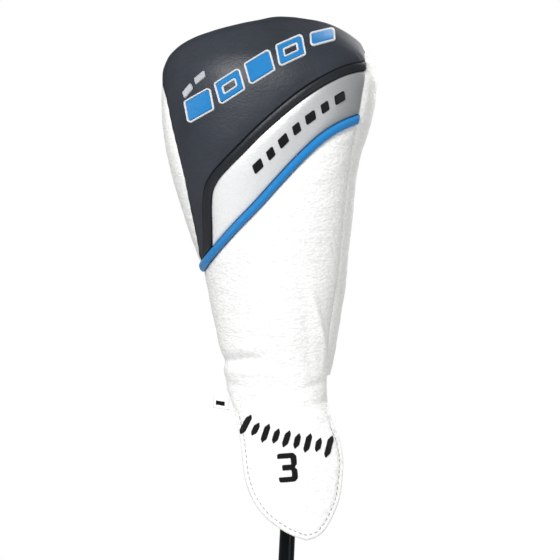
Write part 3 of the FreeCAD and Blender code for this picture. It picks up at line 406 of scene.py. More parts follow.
V_TIP = float(v_of(TONGUE_TIP_Z))
toe_edge = panel_edge(SEAM_TOE + TONGUE_TOE, TOE_REACH, toe_side=True)
heel_edge = panel_edge(SEAM_HEEL + TONGUE_HEEL, HEEL_REACH, toe_side=False)
tip = (toe_edge[0] + heel_edge[0]) / 2
toe_edge[0] = heel_edge[0] = tip


def front_loops():
    """Outlines of the front panels, each as a list of (u, v) lines end to end."""
    trim, pipe = smooth_line(TRIM), smooth_line(PIPING)
    trim_top, trim_low = (to_uv(offset_line(trim, d)) for d in (-HALF_TRIM, HALF_TRIM))
    pipe_top, pipe_low = (to_uv(offset_line(pipe, d)) for d in (-HALF_PIPE, HALF_PIPE))
    heel_trim_top, heel_trim_low, heel_pipe_top, heel_pipe_low = (
        crossing(line, heel_edge) for line in (trim_top, trim_low, pipe_top, pipe_low))
    toe_pipe_top, toe_pipe_low = crossing(pipe_top, toe_edge), crossing(pipe_low, toe_edge)
    meet_top, meet_low = crossing(trim_top, pipe_top), crossing(trim_low, pipe_top)

    trim_top_part = between(trim_top, heel_trim_top.first, meet_top.first,
                            heel_trim_top.point, meet_top.point)
    return {
        "top_panel": [
            trim_top_part,
            between(pipe_top, meet_top.second, toe_pipe_top.first, last=toe_pipe_top.point),
            between(toe_edge, toe_pipe_top.second, len(toe_edge) - 1),
            between(heel_edge, len(heel_edge) - 1, heel_trim_top.second)],
        "black_trim": [
            trim_top_part,
            between(pipe_top, meet_top.second, meet_low.second, last=meet_low.point),
            between(trim_low, meet_low.first, heel_trim_low.first, last=heel_trim_low.point),
            between(heel_edge, heel_trim_low.second, heel_trim_top.second)],
        "silver_band": [
            between(trim_low, heel_trim_low.first, meet_low.first,
                    heel_trim_low.point, meet_low.point),
            between(pipe_top, meet_low.second, heel_pipe_top.first, last=heel_pipe_top.point),
            between(heel_edge, heel_pipe_top.second, heel_trim_low.second)],
        "blue_piping": [
            between(pipe_top, heel_pipe_top.first, toe_pipe_top.first,
                    heel_pipe_top.point, toe_pipe_top.point),
            between(toe_edge, toe_pipe_top.second, toe_pipe_low.second),
            between(pipe_low, toe_pipe_low.first, heel_pipe_low.first,
                    toe_pipe_low.point, heel_pipe_low.point),
            between(heel_edge, heel_pipe_low.second, heel_pipe_top.second)],
        "front_panel": [
            between(pipe_low, heel_pipe_low.first, toe_pipe_low.first,
                    heel_pipe_low.point, toe_pipe_low.point),
            between(toe_edge, toe_pipe_low.second, 0, last=tip),
            between(heel_edge, 0, heel_pipe_low.second)],
    }


def hem_z(x):
    """Height of the slanted bottom hem."""
    return -89.0 + (x + 120.0) * 52.8 / 240.0


def hem_line(u_start, u_end, count):
    """The bottom hem between two values of u."""
    out = []
    for t in np.linspace(0, 1, count):
        u = u_start + (u_end - u_start) * t
        z = -65.0
        for _ in range(8):
            z = hem_z(float(form(u, v_of(z))[0]))
        out.append((u, float(v_of(z))))
    return np.array(out)


def back_loops():
    """Outlines of the back panel and the two gussets."""
    outline = to_uv(smooth_line(BACK), u_back)
    v_toe, v_heel = float(v_of(-71.8)), float(v_of(-57.6))
    toe_low = crossing(toe_edge, np.array([[-0.6, v_toe], [0.0, v_toe]])).point
    heel_low = crossing(heel_edge, np.array([[0.0, v_heel], [0.6, v_heel]])).point

    def above_hem(edge, low):
        return edge[(edge[:, 1] < v_of(CROWN_Z - 0.05)) & (edge[:, 1] > low[1])]

    # the outline's toe and heel halves, their lower ends brought onto the hem
    top = int(np.argmax(outline[:, 1]))
    toe_half, heel_half = outline[:top + 1].copy(), outline[top:].copy()
    hem = hem_line(toe_low[0], heel_low[0] - 1.0, 120)
    for end in (toe_half[0], heel_half[-1]):
        end[1] = np.interp(-(end[0] - 1), -hem[:, 0], hem[:, 1])
    toe_u, heel_u = toe_half[0][0], heel_half[-1][0]
    v_crown = float(v_of(CROWN_Z))
    return {
        "back_panel": [toe_half, heel_half[1:], hem_line(heel_u, toe_u, 50)[1:-1]],
        "toe_gusset": [
            above_hem(toe_edge, toe_low), np.array([[-0.5, v_crown]]),
            (toe_half - (1, 0))[::-1], hem_line(toe_u - 1, toe_low[0], 40)[1:]],
        "heel_gusset": [
            above_hem(heel_edge, heel_low)[::-1], hem_line(heel_low[0], heel_u, 40)[:-1],
            heel_half[::-1], np.array([[0.5, v_crown]])],
    }


LOOPS = {**front_loops(), **back_loops()}


def loop_of(name):
    points = tidy(np.concatenate([part for part in LOOPS[name] if len(part)]))
    if gap(points[-1], points[0]) < 0.6:
        points = points[:-1]
    return points


# ------------------------------------------------------------------ meshing a panel


def mesh_loop(loop, pitch, u_ref, rings=(0.45, 1.05, 1.8)):
    """Triangles filling a (u, v) loop at an even pitch; the rings follow the seam inside it."""
    flat = np.stack([(loop[:, 0] - u_ref) * perimeter(loop[:, 1]), loop[:, 1]], axis=1)
    low, high = flat.min(0), flat.max(0)
    row_gap = pitch * math.sqrt(3) / 2
    grid = []
    for k, y in enumerate(np.arange(low[1] + row_gap / 2, high[1], row_gap)):
        xs = np.arange(low[0], high[0], pitch) + (pitch / 2 if k % 2 else 0)
        grid.append(np.stack([xs, np.full(len(xs), y)], axis=1))
    grid = np.concatenate(grid)
    grid = grid[inside(flat, grid)]
    tree = point_tree(dense(flat, 0.25))

    following = np.roll(flat, -1, axis=0)
    lengths = np.linalg.norm(following - flat, axis=1)
    total = running(lengths)
    area = 0.5 * np.sum(flat[:, 0] * following[:, 1] - following[:, 0] * flat[:, 1])
    ring = []
    for j, depth in enumerate(rings):
        step = max(0.62 * pitch, 0.55) * (1.0 + 0.18 * j)
        n = max(8, int(total[-1] / step))
        candidates = []
        for s in (np.arange(n) + 0.5 * (j % 2)) * total[-1] / n:
            k = min(int(np.searchsorted(total, s, side="right")) - 1, len(flat) - 1)
            ahead = (following[k] - flat[k]) / max(lengths[k], 1e-9)
            inward = np.array([-ahead[1], ahead[0]]) * (1 if area > 0 else -1)
            candidates.append(flat[k] + ahead * (s - total[k]) + inward * depth)
        candidates = np.array(candidates)
        for p in candidates[inside(flat, candidates)]:
            if distance_to(tree, p) < 0.93 * depth:
                continue
            if any((p[0] - r[0]) ** 2 + (p[1] - r[1]) ** 2 < (0.45 * step) ** 2 for r in ring[-6:]):
                continue
            ring.append(p)

    clear = rings[-1] + 0.5 * pitch
    points = list(flat) + ring + [p for p in grid if distance_to(tree, p) > clear]
    border = [list(range(len(flat)))]
    out = delaunay_2d_cdt([Vector((p[0], p[1])) for p in points], [], border, 1, 1e-5)
    co = np.array([(p.x, p.y) for p in out[0]])
    u = co[:, 0] / np.maximum(perimeter(co[:, 1]), 1e-6) + u_ref
    return np.stack([u, co[:, 1]], axis=1), [list(face) for face in out[2]]


def seam_tree(line, step=0.6):
    """Nearest-point tree of a (u, v) line, in space."""
    corners = form(line[:, 0], line[:, 1])
    points = []
    for p, q in zip(corners[:-1], corners[1:]):
        n = max(1, int(np.linalg.norm(q - p) / step))
        points += [p + (q - p) * t / n for t in range(n)]
    points.append(corners[-1])
    return point_tree(points)


# folds of the white front: line in (x, z), half width, height (negative is sunk)
FOLDS = [
    ([(6.5, -5.0), (9.8, -16.0), (15.8, -36.0), (21.4, -54.5)], 2.3, 1.5),
    ([(0.0, -8.0), (4.0, -26.0), (8.5, -48.0), (13.5, -66.0)], 4.2, -0.9),
    ([(20.5, -10.0), (21.0, -26.0), (23.0, -46.0)], 2.8, -1.1),
    ([(-48.0, -51.6), (-38.0, -51.0), (-29.0, -49.8), (-20.0, -48.6)], 3.1, -2.3),
    ([(-46.0, -42.5), (-36.0, -42.8), (-25.0, -42.6), (-15.0, -43.0)], 3.4, 0.8),
    ([(-46.0, -58.5), (-36.0, -58.0), (-25.0, -57.0), (-13.0, -56.0)], 3.0, 0.8),
    ([(-45.0, -64.0), (-34.0, -66.5), (-22.0, -66.0)], 2.0, -0.7),
    ([(22.0, -58.0), (14.0, -63.0), (2.0, -66.0)], 2.2, -0.9),
    ([(22.0, -68.0), (13.0, -72.0), (0.0, -73.5)], 2.6, 0.7),
    ([(-33.0, -72.0), (-20.0, -77.0), (-4.0, -78.5), (12.0, -77.0)], 3.4, -0.55),
    ([(34.0, 84.0), (27.0, 83.0), (18.0, 80.0)], 1.6, -0.7),
    ([(31.5, 76.0), (24.0, 73.5), (15.0, 68.0)], 2.2, 0.45),
    ([(30.0, 52.0), (20.0, 47.0), (9.0, 44.0)], 2.8, 0.35),
    ([(-57.0, -6.0), (-49.0, -10.0), (-40.0, -12.0)], 2.2, -0.4),
]
SOFT_PANELS = ("front_panel", "toe_gusset", "heel_gusset", "back_panel")
# rolled strips: half width, height at the seam, rise to the middle, roundness power
ROLLS = {"black_trim": (HALF_TRIM, -0.85, 1.55, 2.4), "blue_piping": (HALF_PIPE, -0.9, 2.6, 2)}


def wrinkles(points, uv, name):
    """Cloth movement over a panel, in mm along the normal."""
    soft = name in SOFT_PANELS
    amount = 1.0 if soft else 0.45
    height = np.zeros(len(points))
    for k, (x, y, z) in enumerate(points):
        height[k] += amount * 0.5 * noise.noise((x * 0.028 + 3, y * 0.028, z * 0.036))
        height[k] += amount * 0.24 * noise.noise((x * 0.055, y * 0.06 + 7, z * 0.15))
        if soft:
            height[k] += 0.16 * noise.noise((x * 0.16, y * 0.12, z * 0.42 + 11))
    if not soft:
        return height
    x, z = points[:, 0], points[:, 2]
    if name == "front_panel":
        for line, half, rise in FOLDS:
            d, share = line_distance(x, z, line)
            fade = np.sin(np.pi * np.clip(share * 0.9 + 0.08, 0, 1)) ** 0.7
            height += rise * np.exp(-((d / half) ** 2)) * fade
    # gathers over the neck elastic
    neck = np.exp(-(((z + 50.0) / 12.0) ** 2))
    gather = 1.0 if name != "front_panel" else 0.12
    phase = uv[:, 0] * perimeter(uv[:, 1]) / 7.5 * 2 * np.pi
    return height + gather * neck * (0.75 * np.sin(phase + 1.2 * np.sin(z * 0.11)) - 1.3)


def displacement(name, points, uv, tree):
    """How far each point of a panel stands off the form."""
    d = np.array([distance_to(tree, p) for p in points])
    if name in ROLLS:
        half, low, rise, power = ROLLS[name]
        t = np.clip(d / half, 0, 1)
        return low + rise * np.sqrt(np.clip(1 - (1 - t) ** power, 0, 1))
    band = name == "silver_band"
    puff = 0.6 if band else 0.75
    base = -0.9 * np.exp(-d / 1.1) - 0.35 * np.exp(-d / 4.0) + puff * (1 - np.exp(-d / 7.0))
    out = base + wrinkles(points, uv, name) * (1 - np.exp(-d / 3.0))
    # short puckers that the seam thread pulls into the leather
    run = points[:, 0] * 0.9 + points[:, 2]
    wave = 0.5 + 0.5 * np.sin(run * 2 * np.pi / 5.2 + 0.8 * np.sin(run * 0.23))
    pull = (-0.06 if band else -0.28) * np.exp(-((d - 2.2) / 1.8) ** 2) * wave
    if name == "front_panel":
        # turned hem of the tongue: plump between the fold and its row of stitches
        on = np.clip((-78.0 - points[:, 2]) / 9.0, 0, 1)
        turned = (-0.75 * np.exp(-(((d - 3.3) / 0.8) ** 2))
                  + 0.5 * np.exp(-(((d - 1.6) / 1.0) ** 2)))
        pull = pull * (1 - on) + on * turned
    return out + pull


# ------------------------------------------------------------------ mesh objects


def shade_smooth(mesh):
    mesh.polygons.foreach_set("use_smooth", [True] * len(mesh.polygons))


def make_mesh(name, verts, faces):
    """Mesh object from vertices in metres."""
    mesh = bpy.data.meshes.new(name)
    mesh.from_pydata([tuple(v) for v in verts], [], faces)
    mesh.validate()
    shade_smooth(mesh)
    ob = bpy.data.objects.new(name, mesh)
    bpy.context.scene.collection.objects.link(ob)
    return ob


def cover_mesh(name, verts, faces):
    """Mesh object from vertices in mm over the cover's datum."""
    return make_mesh(name, (np.array(verts, float) + (0, 0, DATUM_Z)) / 1000.0, faces)


def solidify(ob, thickness_mm, offset=-1.0):
    modifier = ob.modifiers.new("thick", "SOLIDIFY")
    modifier.thickness = thickness_mm / 1000.0
    modifier.offset = offset
    modifier.use_rim = True
    modifier.use_even_offset = False
    bpy.context.view_layer.objects.active = ob
    for other in bpy.context.selected_objects:
        other.select_set(False)
    ob.select_set(True)
    bpy.ops.object.modifier_apply(modifier=modifier.name)


def face_out(ob):
    """Turn the faces so that they look away from the cover's axis."""
    bm = bmesh.new()
    bm.from_mesh(ob.data)
    bmesh.ops.remove_doubles(bm, verts=bm.verts, dist=0.00004)
    bmesh.ops.recalc_face_normals(bm, faces=bm.faces)
    outward = 0
    for face in bm.faces:
        middle = face.calc_center_median()
        outward += face.normal.dot(Vector((middle.x + 0.02, middle.y + 0.02, 0.0)))
    if outward < 0:
        bmesh.ops.reverse_faces(bm, faces=bm.faces)
    bm.to_mesh(ob.data)
    bm.free()


def build_panel(name, pitch, u_ref, thickness):
    loop = loop_of(name)
    rings = (0.3, 0.75, 1.3) if name in ROLLS else (0.45, 1.05, 1.8)
    uv, faces = mesh_loop(loop, pitch, u_ref, rings)
    points = form(uv[:, 0], uv[:, 1])
    normals = unit(form(uv[:, 0], uv[:, 1], NORMALS))
    height = displacement(name, points, uv, seam_tree(np.vstack([loop, loop[:1]])))
    ob = cover_mesh(name + "_cloth", points + normals * height[:, None], faces)
    face_out(ob)
    solidify(ob, thickness)
    shade_smooth(ob.data)
    return ob


# name, mesh pitch, u the panel is unrolled about, thickness, material slot
PANEL_TABLE = [
    ("top_panel", 1.5, 0.0, 1.7, "charcoal_vinyl"),
    ("silver_band", 1.2, 0.0, 1.7, "silver_vinyl"),
    ("front_panel", 1.35, 0.0, 1.9, "white_leather"),
    ("black_trim", 0.75, 0.0, 1.5, "black_trim"),
    ("blue_piping", 0.65, 0.0, 1.6, "blue_piping"),
    ("back_panel", 1.9, 0.5, 1.7, "charcoal_vinyl"),
    ("toe_gusset", 1.7, -0.3, 1.7, "white_gusset"),
    ("heel_gusset", 1.7, 0.3, 1.7, "white_gusset"),
]
PANELS = {name: build_panel(name, *sizes) for name, *sizes, _ in PANEL_TABLE}

# ------------------------------------------------------------------ node materials


class Graph:
    """Node tree of a material or world, with helpers that add nodes to it."""

    def __init__(self, owner):
        owner.use_nodes = True
        self.nodes = owner.node_tree.nodes
        self.links = owner.node_tree.links

    def feed(self, socket, value):
        """Link another node's output to a socket, or set the socket's own value."""
        if isinstance(value, bpy.types.NodeSocket):
            self.links.new(value, socket)
        else:
            socket.default_value = value

    def node(self, kind, inputs, **settings):
        node = self.nodes.new("ShaderNode" + kind)
        for key, value in settings.items():
            setattr(node, key, value)
        for key, value in inputs.items():
            self.feed(node.inputs[key], value)
        return node

    def shade(self, inputs):
        """Feed the Principled surface."""
        for key, value in inputs.items():
            self.feed(self.nodes["Principled BSDF"].inputs[key], value)

    def coords(self, scale=(1, 1, 1), rotation=(0, 0, 0)):
        source = self.node("TexCoord", {}).outputs["Object"]
        mapping = {"Scale": scale, "Rotation": rotation, "Vector": source}
        return self.node("Mapping", mapping).outputs["Vector"]

    def split(self, vector):
        return self.node("SeparateXYZ", {0: vector}).outputs

    def noise(self, vector, scale, detail=3.0, rough=0.55):
        inputs = {"Scale": scale, "Detail": detail, "Roughness": rough, "Vector": vector}
        return self.node("TexNoise", inputs).outputs["Fac"]

    def wave(self, vector, direction, **inputs):
        inputs["Vector"] = vector
        return self.node("TexWave", inputs, bands_direction=direction).outputs["Fac"]

    def math(self, operation, *values):
        return self.node("Math", dict(enumerate(values)), operation=operation).outputs[0]

    def mix(self, factor, a, b, blend="MIX"):
        node = self.node("Mix", {}, data_type="RGBA", blend_type=blend)
        for name, value in (("Factor", factor), ("A", a), ("B", b)):
            socket = next(s for s in node.inputs if s.name == name and s.enabled)
            self.feed(socket, (*value, 1.0) if isinstance(value, tuple) else value)
        return next(s for s in node.outputs if s.enabled)

    def remap(self, value, source=(0.0, 1.0), target=(0.0, 1.0), smooth=False):
        inputs = {"From Min": source[0], "From Max": source[1],
                  "To Min": target[0], "To Max": target[1], "Value": value}
        interpolation = "SMOOTHSTEP" if smooth else "LINEAR"
        return self.node("MapRange", inputs, interpolation_type=interpolation).outputs["Result"]

    def bump(self, height, distance, under=None):
        inputs = {"Distance": distance, "Strength": 1.0, "Height": height}
        if under is not None:
            inputs["Normal"] = under
        return self.node("Bump", inputs).outputs["Normal"]

    def edge_dull(self, spec, dull, start, end):
        """Fine texture shades itself at grazing angles, so shine dies away to the outline."""
        facing = self.node("LayerWeight", {"Blend": 0.5}).outputs["Facing"]
        target = (spec, spec * (1.0 - dull))
        self.shade({"Specular IOR Level": self.remap(facing, (start, end), target, smooth=True)})


def new_material(name):
    material = bpy.data.materials.new(name)
    return material, Graph(material)


def leather(name, dark, light, pebble, ripple, rough=0.46, cell=0.0013, spec=0.5, metallic=0.0,
            crease_shade=0.88, fade=None, dull=0.0, fine=0.62):
    """Grained sheet: rounded pebbles, soft cross ripples, fine pores and a cloudy surface.

    cell is the pebble size, pebble and ripple are bump heights, fine is the ripples' frequency
    per cell, crease sets the painted shade that darkens the colour between pebbles and dull takes
    shine off at the outline. fade is the x range over which the colour goes from light to dark:
    a painted highlight towards the toe side turning to painted shade towards the heel side.
    """
    material, g = new_material(name)
    vector = g.coords((0.62, 0.62, 1.0))
    warp = g.node("TexNoise", {"Scale": 0.4 / cell, "Vector": vector}).outputs["Color"]
    warped = g.node("VectorMath", {0: warp, 1: (cell * 1.2,) * 3, 2: vector},
                    operation="MULTIPLY_ADD").outputs[0]
    cells = g.node("TexVoronoi", {"Smoothness": 0.7, "Scale": 1.0 / cell, "Vector": warped},
                   feature="SMOOTH_F1")
    grain = g.remap(cells.outputs["Distance"], (0.70, 0.12))
    wide = g.noise(g.coords((0.42, 0.42, 1.0)), scale=fine / cell, detail=2.0, rough=0.5)
    pores = g.noise(vector, scale=3.6 / cell, detail=2.0)
    cloud = g.noise(g.coords(), scale=22.0)
    rippled = g.bump(wide, ripple * 2.2)
    pebbled = g.bump(grain, pebble, rippled)
    normal = g.bump(pores, pebble * 0.25, pebbled)
    if fade is None:
        colour = g.mix(g.remap(cloud, (0.35, 0.68)), dark, light)
    else:
        # painted highlight and painted shade: light towards the toe side, dark towards the heel side
        colour = g.mix(g.remap(g.split(g.coords())["X"], fade, smooth=True), light, dark)
    # painted shade: crease darkens the colour in the hollows between pebbles
    shade = g.mix(g.remap(grain, (0.0, 0.5)), (crease_shade,) * 3, (1.0, 1.0, 1.0))
    g.shade({
        "Normal": normal,
        "Base Color": g.mix(1.0, colour, shade, "MULTIPLY"),
        "Roughness": g.remap(cloud, target=(rough - 0.06, rough + 0.09)),
        "Metallic": metallic,
        "Specular IOR Level": spec,
        "Coat Weight": 0.0,
        "Coat Roughness": 0.3,
    })
    if dull:
        g.edge_dull(spec, dull, start=0.35, end=0.80)
    return material


def satin(name, colour, pitch=0.00036, degrees=0.0, rough=0.42, sheen=0.35, spec=0.5):
    """Packed embroidery threads side by side, pitch apart, turned by degrees about y."""
    material, g = new_material(name)
    vector = g.coords(rotation=(0, math.radians(degrees), 0))
    threads = g.wave(vector, "X", Scale=0.314 / pitch, Distortion=0.35, Detail=1.0)
    ply = g.noise(vector, scale=3000.0, detail=2.0)
    g.shade({
        "Normal": g.bump(ply, 0.00004, g.bump(threads, 0.00016)),
        # painted shade: the colour darkens to 0.62 of itself in the grooves between threads
        "Base Color": g.mix(threads, tuple(c * 0.62 for c in colour), colour),
        "Roughness": rough,
        "Sheen Weight": sheen,
        "Anisotropic": 0.4,
        "Specular IOR Level": spec,
    })
    return material


def cloth(name, dark, light, pitch=0.0009, pile=0.0006, sheen=0.6):
    """Fuzzy cloth: pitch is the size of its speckle, pile the height of its bumps."""
    material, g = new_material(name)
    vector = g.coords()
    speckle = g.noise(vector, scale=1.0 / pitch, detail=4.0, rough=0.7)
    lumps = g.noise(vector, scale=0.22 / pitch)
    g.shade({
        "Base Color": g.mix(g.remap(speckle, (0.3, 0.7)), dark, light),
        "Normal": g.bump(speckle, pile, g.bump(lumps, pile * 1.5)),
        "Roughness": 0.9,
        "Sheen Weight": sheen,
    })
    return material


def metal(name, dark, light, rough=0.3, brush=(1, 1, 60)):
    """Brushed metal; brush squeezes the brushing noise along each axis."""
    material, g = new_material(name)
    lines = g.noise(g.coords(brush), scale=900.0, detail=2.0)
    stain = g.noise(g.coords(), scale=40.0, detail=4.0)
    g.shade({
        "Base Color": g.mix(stain, dark, light),
        "Normal": g.bump(lines, 0.00002),
        "Roughness": g.remap(lines, target=(rough - 0.07, rough + 0.1)),
        "Metallic": 1.0,
    })
    return material


def gloss(name, colour, rough, coat, flake=0.0, spec=0.5, dull=0.0):
    """Sprayed and polished finish with faint orange peel and flake."""
    material, g = new_material(name)
    vector = g.coords()
    peel = g.noise(vector, scale=420.0, detail=2.0)
    dust = g.noise(vector, scale=5200.0, detail=1.0)
    bright = tuple(min(1.0, c * 1.6 + flake) for c in colour)
    base = g.mix(g.remap(dust, (0.55, 0.8)), colour, bright)
    normal = g.bump(peel, 0.000012)
    smear = g.noise(g.coords((1, 1, 0.3)), scale=60.0)
    g.shade({
        "Base Color": base,
        "Normal": normal,
        "Coat Normal": normal,
        "Roughness": g.remap(smear, target=(rough, rough + 0.12)),
        "Coat Weight": coat,
        "Coat Roughness": 0.06,
        "Specular IOR Level": spec,
    })
    if dull:
        g.edge_dull(spec, dull, start=0.30, end=0.75)
    return material


def weave(name, dark, light):
    """Twill carbon laminate under a thin clear coat."""
    material, g = new_material(name)
    vector = g.coords(rotation=(0, math.radians(-33), 0))
    warp = g.wave(vector, "X", Scale=157.0)
    weft = g.wave(vector, "Y", Scale=157.0)
    tow = g.math("ABSOLUTE", g.math("SUBTRACT", warp, weft))
    colour = g.mix(tow, dark, light)
    fibre = g.noise(vector, scale=2200.0, detail=1.0)
    g.shade({
        "Base Color": colour,
        "Normal": g.bump(fibre, 0.00001),
        "Roughness": 0.30,
        "Coat Weight": 0.03,
        "Coat Roughness": 0.08,
    })
    g.edge_dull(spec=0.5, dull=0.95, start=0.35, end=0.80)
    return material


def grip_rubber(name, dark, worn, raised):
    """Moulded rubber with rows of small raised lozenges and a plain band near both ends."""
    material, g = new_material(name)
    place = g.split(g.node("TexCoord", {}).outputs["Object"])
    turn = g.math("MULTIPLY", g.math("ARCTAN2", place["Y"], place["X"]), 14.0)
    climb = g.math("MULTIPLY", place["Z"], 2 * math.pi / 0.0054)  # rows 5.4 mm apart
    rising = g.math("SINE", g.math("ADD", turn, climb))
    falling = g.math("SINE", g.math("SUBTRACT", turn, climb))
    lozenge = g.remap(g.math("MULTIPLY", rising, falling), (0.05, 0.35))
    near = g.math("LESS_THAN", place["Z"], 0.020)
    far = g.math("GREATER_THAN", place["Z"], 0.252)
    patterned = g.math("SUBTRACT", 1.0, g.math("MAXIMUM", near, far))
    height = g.math("MULTIPLY", lozenge, patterned)
    dust = g.noise(g.coords(), scale=1600.0)
    wear = g.noise(g.coords(), scale=30.0, detail=4.0)
    normal = g.bump(dust, 0.00006, g.bump(height, 0.0005))
    ground = g.mix(g.remap(wear, (0.35, 0.75)), dark, worn)
    g.shade({
        "Normal": normal,
        "Base Color": g.mix(height, ground, raised),
        "Roughness": g.remap(wear, target=(0.55, 0.85)),
    })
    return material


MATERIAL_TABLE = {
    "charcoal_vinyl": (leather, dict(
        dark=(0.015, 0.019, 0.027), light=(0.025, 0.030, 0.041), rough=0.44, cell=0.0011,
        pebble=0.00005, ripple=0.00005, spec=0.36, crease_shade=0.9, dull=0.95)),
    "black_trim": (leather, dict(
        dark=(0.004, 0.006, 0.009), light=(0.008, 0.011, 0.015), rough=0.42, cell=0.0010,
        pebble=0.00004, ripple=0.00005, spec=0.32, dull=0.9)),
    # silver band: light and dark are a painted highlight on the toe side and painted shade on the heel
    # side, spread over fade
    "silver_vinyl": (leather, dict(
        dark=(0.27, 0.28, 0.285), light=(0.78, 0.79, 0.795), rough=0.38, cell=0.0008,
        pebble=0.00004, ripple=0.00005, metallic=0.3, crease_shade=0.95, fade=(-0.058, 0.040))),
    "blue_piping": (satin, dict(
        colour=(0.010, 0.250, 0.65), pitch=0.00055, degrees=55, sheen=0.04, rough=0.4, spec=0.3)),
    "white_leather": (leather, dict(
        dark=(0.845, 0.845, 0.836), light=(0.885, 0.885, 0.876), crease_shade=0.90, pebble=0.00018,
        ripple=0.00015, fine=0.95)),
    "white_gusset": (leather, dict(
        dark=(0.80, 0.80, 0.79), light=(0.86, 0.86, 0.85), rough=0.50, crease_shade=0.92,
        pebble=0.00018, ripple=0.00014, fine=0.95)),
    "fleece": (cloth, dict(dark=(0.11, 0.115, 0.125), light=(0.26, 0.27, 0.29))),
    "elastic": (cloth, dict(dark=(0.62, 0.62, 0.61), light=(0.84, 0.84, 0.83), pitch=0.0006)),
    "thread_blue": (satin, dict(colour=(0.012, 0.265, 0.67), degrees=20, sheen=0.03, spec=0.3)),
    "thread_white": (satin, dict(colour=(0.90, 0.92, 0.93), degrees=20)),
    "thread_silver": (satin, dict(colour=(0.55, 0.58, 0.61), degrees=25)),
    "thread_black": (satin, dict(
        colour=(0.008, 0.008, 0.009), degrees=-8, sheen=0.03, rough=0.5, spec=0.15)),
    "tag_woven": (cloth, dict(
        dark=(0.80, 0.80, 0.80), light=(0.92, 0.92, 0.92), pitch=0.0004, pile=0.0001, sheen=0.2)),
    "rubber_grip": (grip_rubber, dict(
        dark=(0.018, 0.018, 0.019), worn=(0.040, 0.040, 0.041), raised=(0.026, 0.026, 0.027))),
    "tape": (cloth, dict(
        dark=(0.55, 0.50, 0.36), light=(0.72, 0.66, 0.50), pitch=0.0008, pile=0.0001, sheen=0.0)),
    "shaft_black": (gloss, dict(
        colour=(0.0008, 0.0014, 0.0026), rough=0.20, flake=0.0006, coat=0.05, spec=0.12)),
    "brass_weight": (metal, dict(dark=(0.60, 0.42, 0.16), light=(0.74, 0.56, 0.26))),
    "ferrule_black": (gloss, dict(colour=(0.004, 0.004, 0.005), rough=0.18, coat=0.5)),
    "sleeve_alloy": (metal, dict(dark=(0.48, 0.49, 0.51), light=(0.66, 0.67, 0.69), rough=0.32)),
    "ring_plastic": (gloss, dict(colour=(0.030, 0.030, 0.033), rough=0.45, coat=0.0)),
    "steel_body": (gloss, dict(
        colour=(0.020, 0.022, 0.027), rough=0.36, flake=0.02, coat=0.0, spec=0.42, dull=0.97)),
    "steel_face": (metal, dict(
        dark=(0.30, 0.31, 0.33), light=(0.50, 0.51, 0.53), brush=(1, 1, 40))),
    "composite_crown": (weave, dict(dark=(0.006, 0.007, 0.008), light=(0.040, 0.043, 0.048))),
    "steel_screw": (metal, dict(
        dark=(0.22, 0.22, 0.23), light=(0.40, 0.40, 0.42), rough=0.28, brush=(40, 40, 1))),
    "tungsten": (metal, dict(dark=(0.20, 0.20, 0.205), light=(0.34, 0.34, 0.35), rough=0.38)),
}
MATERIALS = {name: make(name, **values) for name, (make, values) in MATERIAL_TABLE.items()}


def dress(ob, slot, replaced=None):
    """Give a part of the headcover its material, hide the CAD part that it stands for and attach it to
    the headcover.
    """
    ob.data.materials.clear()
    ob.data.materials.append(MATERIALS[slot])
    if replaced:
        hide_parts(replaced)
    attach(ob, "headcover")


# ------------------------------------------------------------------ thread on the panels


def panel_bvh(names):
    verts, polygons = [], []
    for name in names:
        mesh = PANELS[name].data
        base = len(verts)
        verts += [v.co.copy() for v in mesh.vertices]
        polygons += [[base + i for i in p.vertices] for p in mesh.polygons]
    return BVHTree.FromPolygons(verts, polygons)


FRONT = panel_bvh(["top_panel", "silver_band", "front_panel", "black_trim", "blue_piping"])


def on_cover(x, z):
    """Point and outward normal where a line along +Y from the front meets the cover."""
    start = Vector((x / 1000, -0.3, (z + DATUM_Z) / 1000))
    place, normal = FRONT.ray_cast(start, Vector((0, 1, 0)))[:2]
    if place is None:  # beside the panels: use the bare form
        u, v = u_front(x, z), float(v_of(z))
        return form(u, v), form(u, v, NORMALS)
    p = place * 1000
    return np.array((p.x, p.y, p.z - DATUM_Z)), np.array(normal if normal.y < 0 else -normal)


def along(path, distance):
    """Point and direction at a distance along a path."""
    for p, q in zip(path[:-1], path[1:]):
        length = math.hypot(q[0] - p[0], q[1] - p[1])
        if distance <= length or q is path[-1]:
            ahead = ((q[0] - p[0]) / length, (q[1] - p[1]) / length)
            return (p[0] + ahead[0] * distance, p[1] + ahead[1] * distance), ahead
        distance -= length


def laid(path, distance, outline, lean=0.0):
    """An outline turned to lie along a path, slanted by lean."""
    (x, z), (ux, uz) = along(path, distance)
    return [(x + ux * (a + lean * b) - uz * b, z + uz * (a + lean * b) + ux * b)
            for a, b in outline]


def block(a, b, cut=1.4):
    """Rectangle of half sizes a and b with two opposite corners cut."""
    return [(-a, -b + cut), (-a + cut, -b), (a, -b), (a, b - cut), (a - cut, b), (-a, b)]


def rounded(polygon, radius=0.7, count=4):
    """A polygon with its corners rounded off."""
    out, m = [], len(polygon)
    for i in range(m):
        before, corner, after = (np.array(polygon[(i + k) % m], float) for k in (-1, 0, 1))
        a, b = before - corner, after - corner
        a_length, b_length = np.linalg.norm(a), np.linalg.norm(b)
        reach = min(radius, a_length * 0.45, b_length * 0.45)
        start, end = corner + a / a_length * reach, corner + b / b_length * reach
        for t in np.linspace(0, 1, count):
            out.append((1 - t) ** 2 * start + 2 * t * (1 - t) * corner + t * t * end)
    return np.array(out)


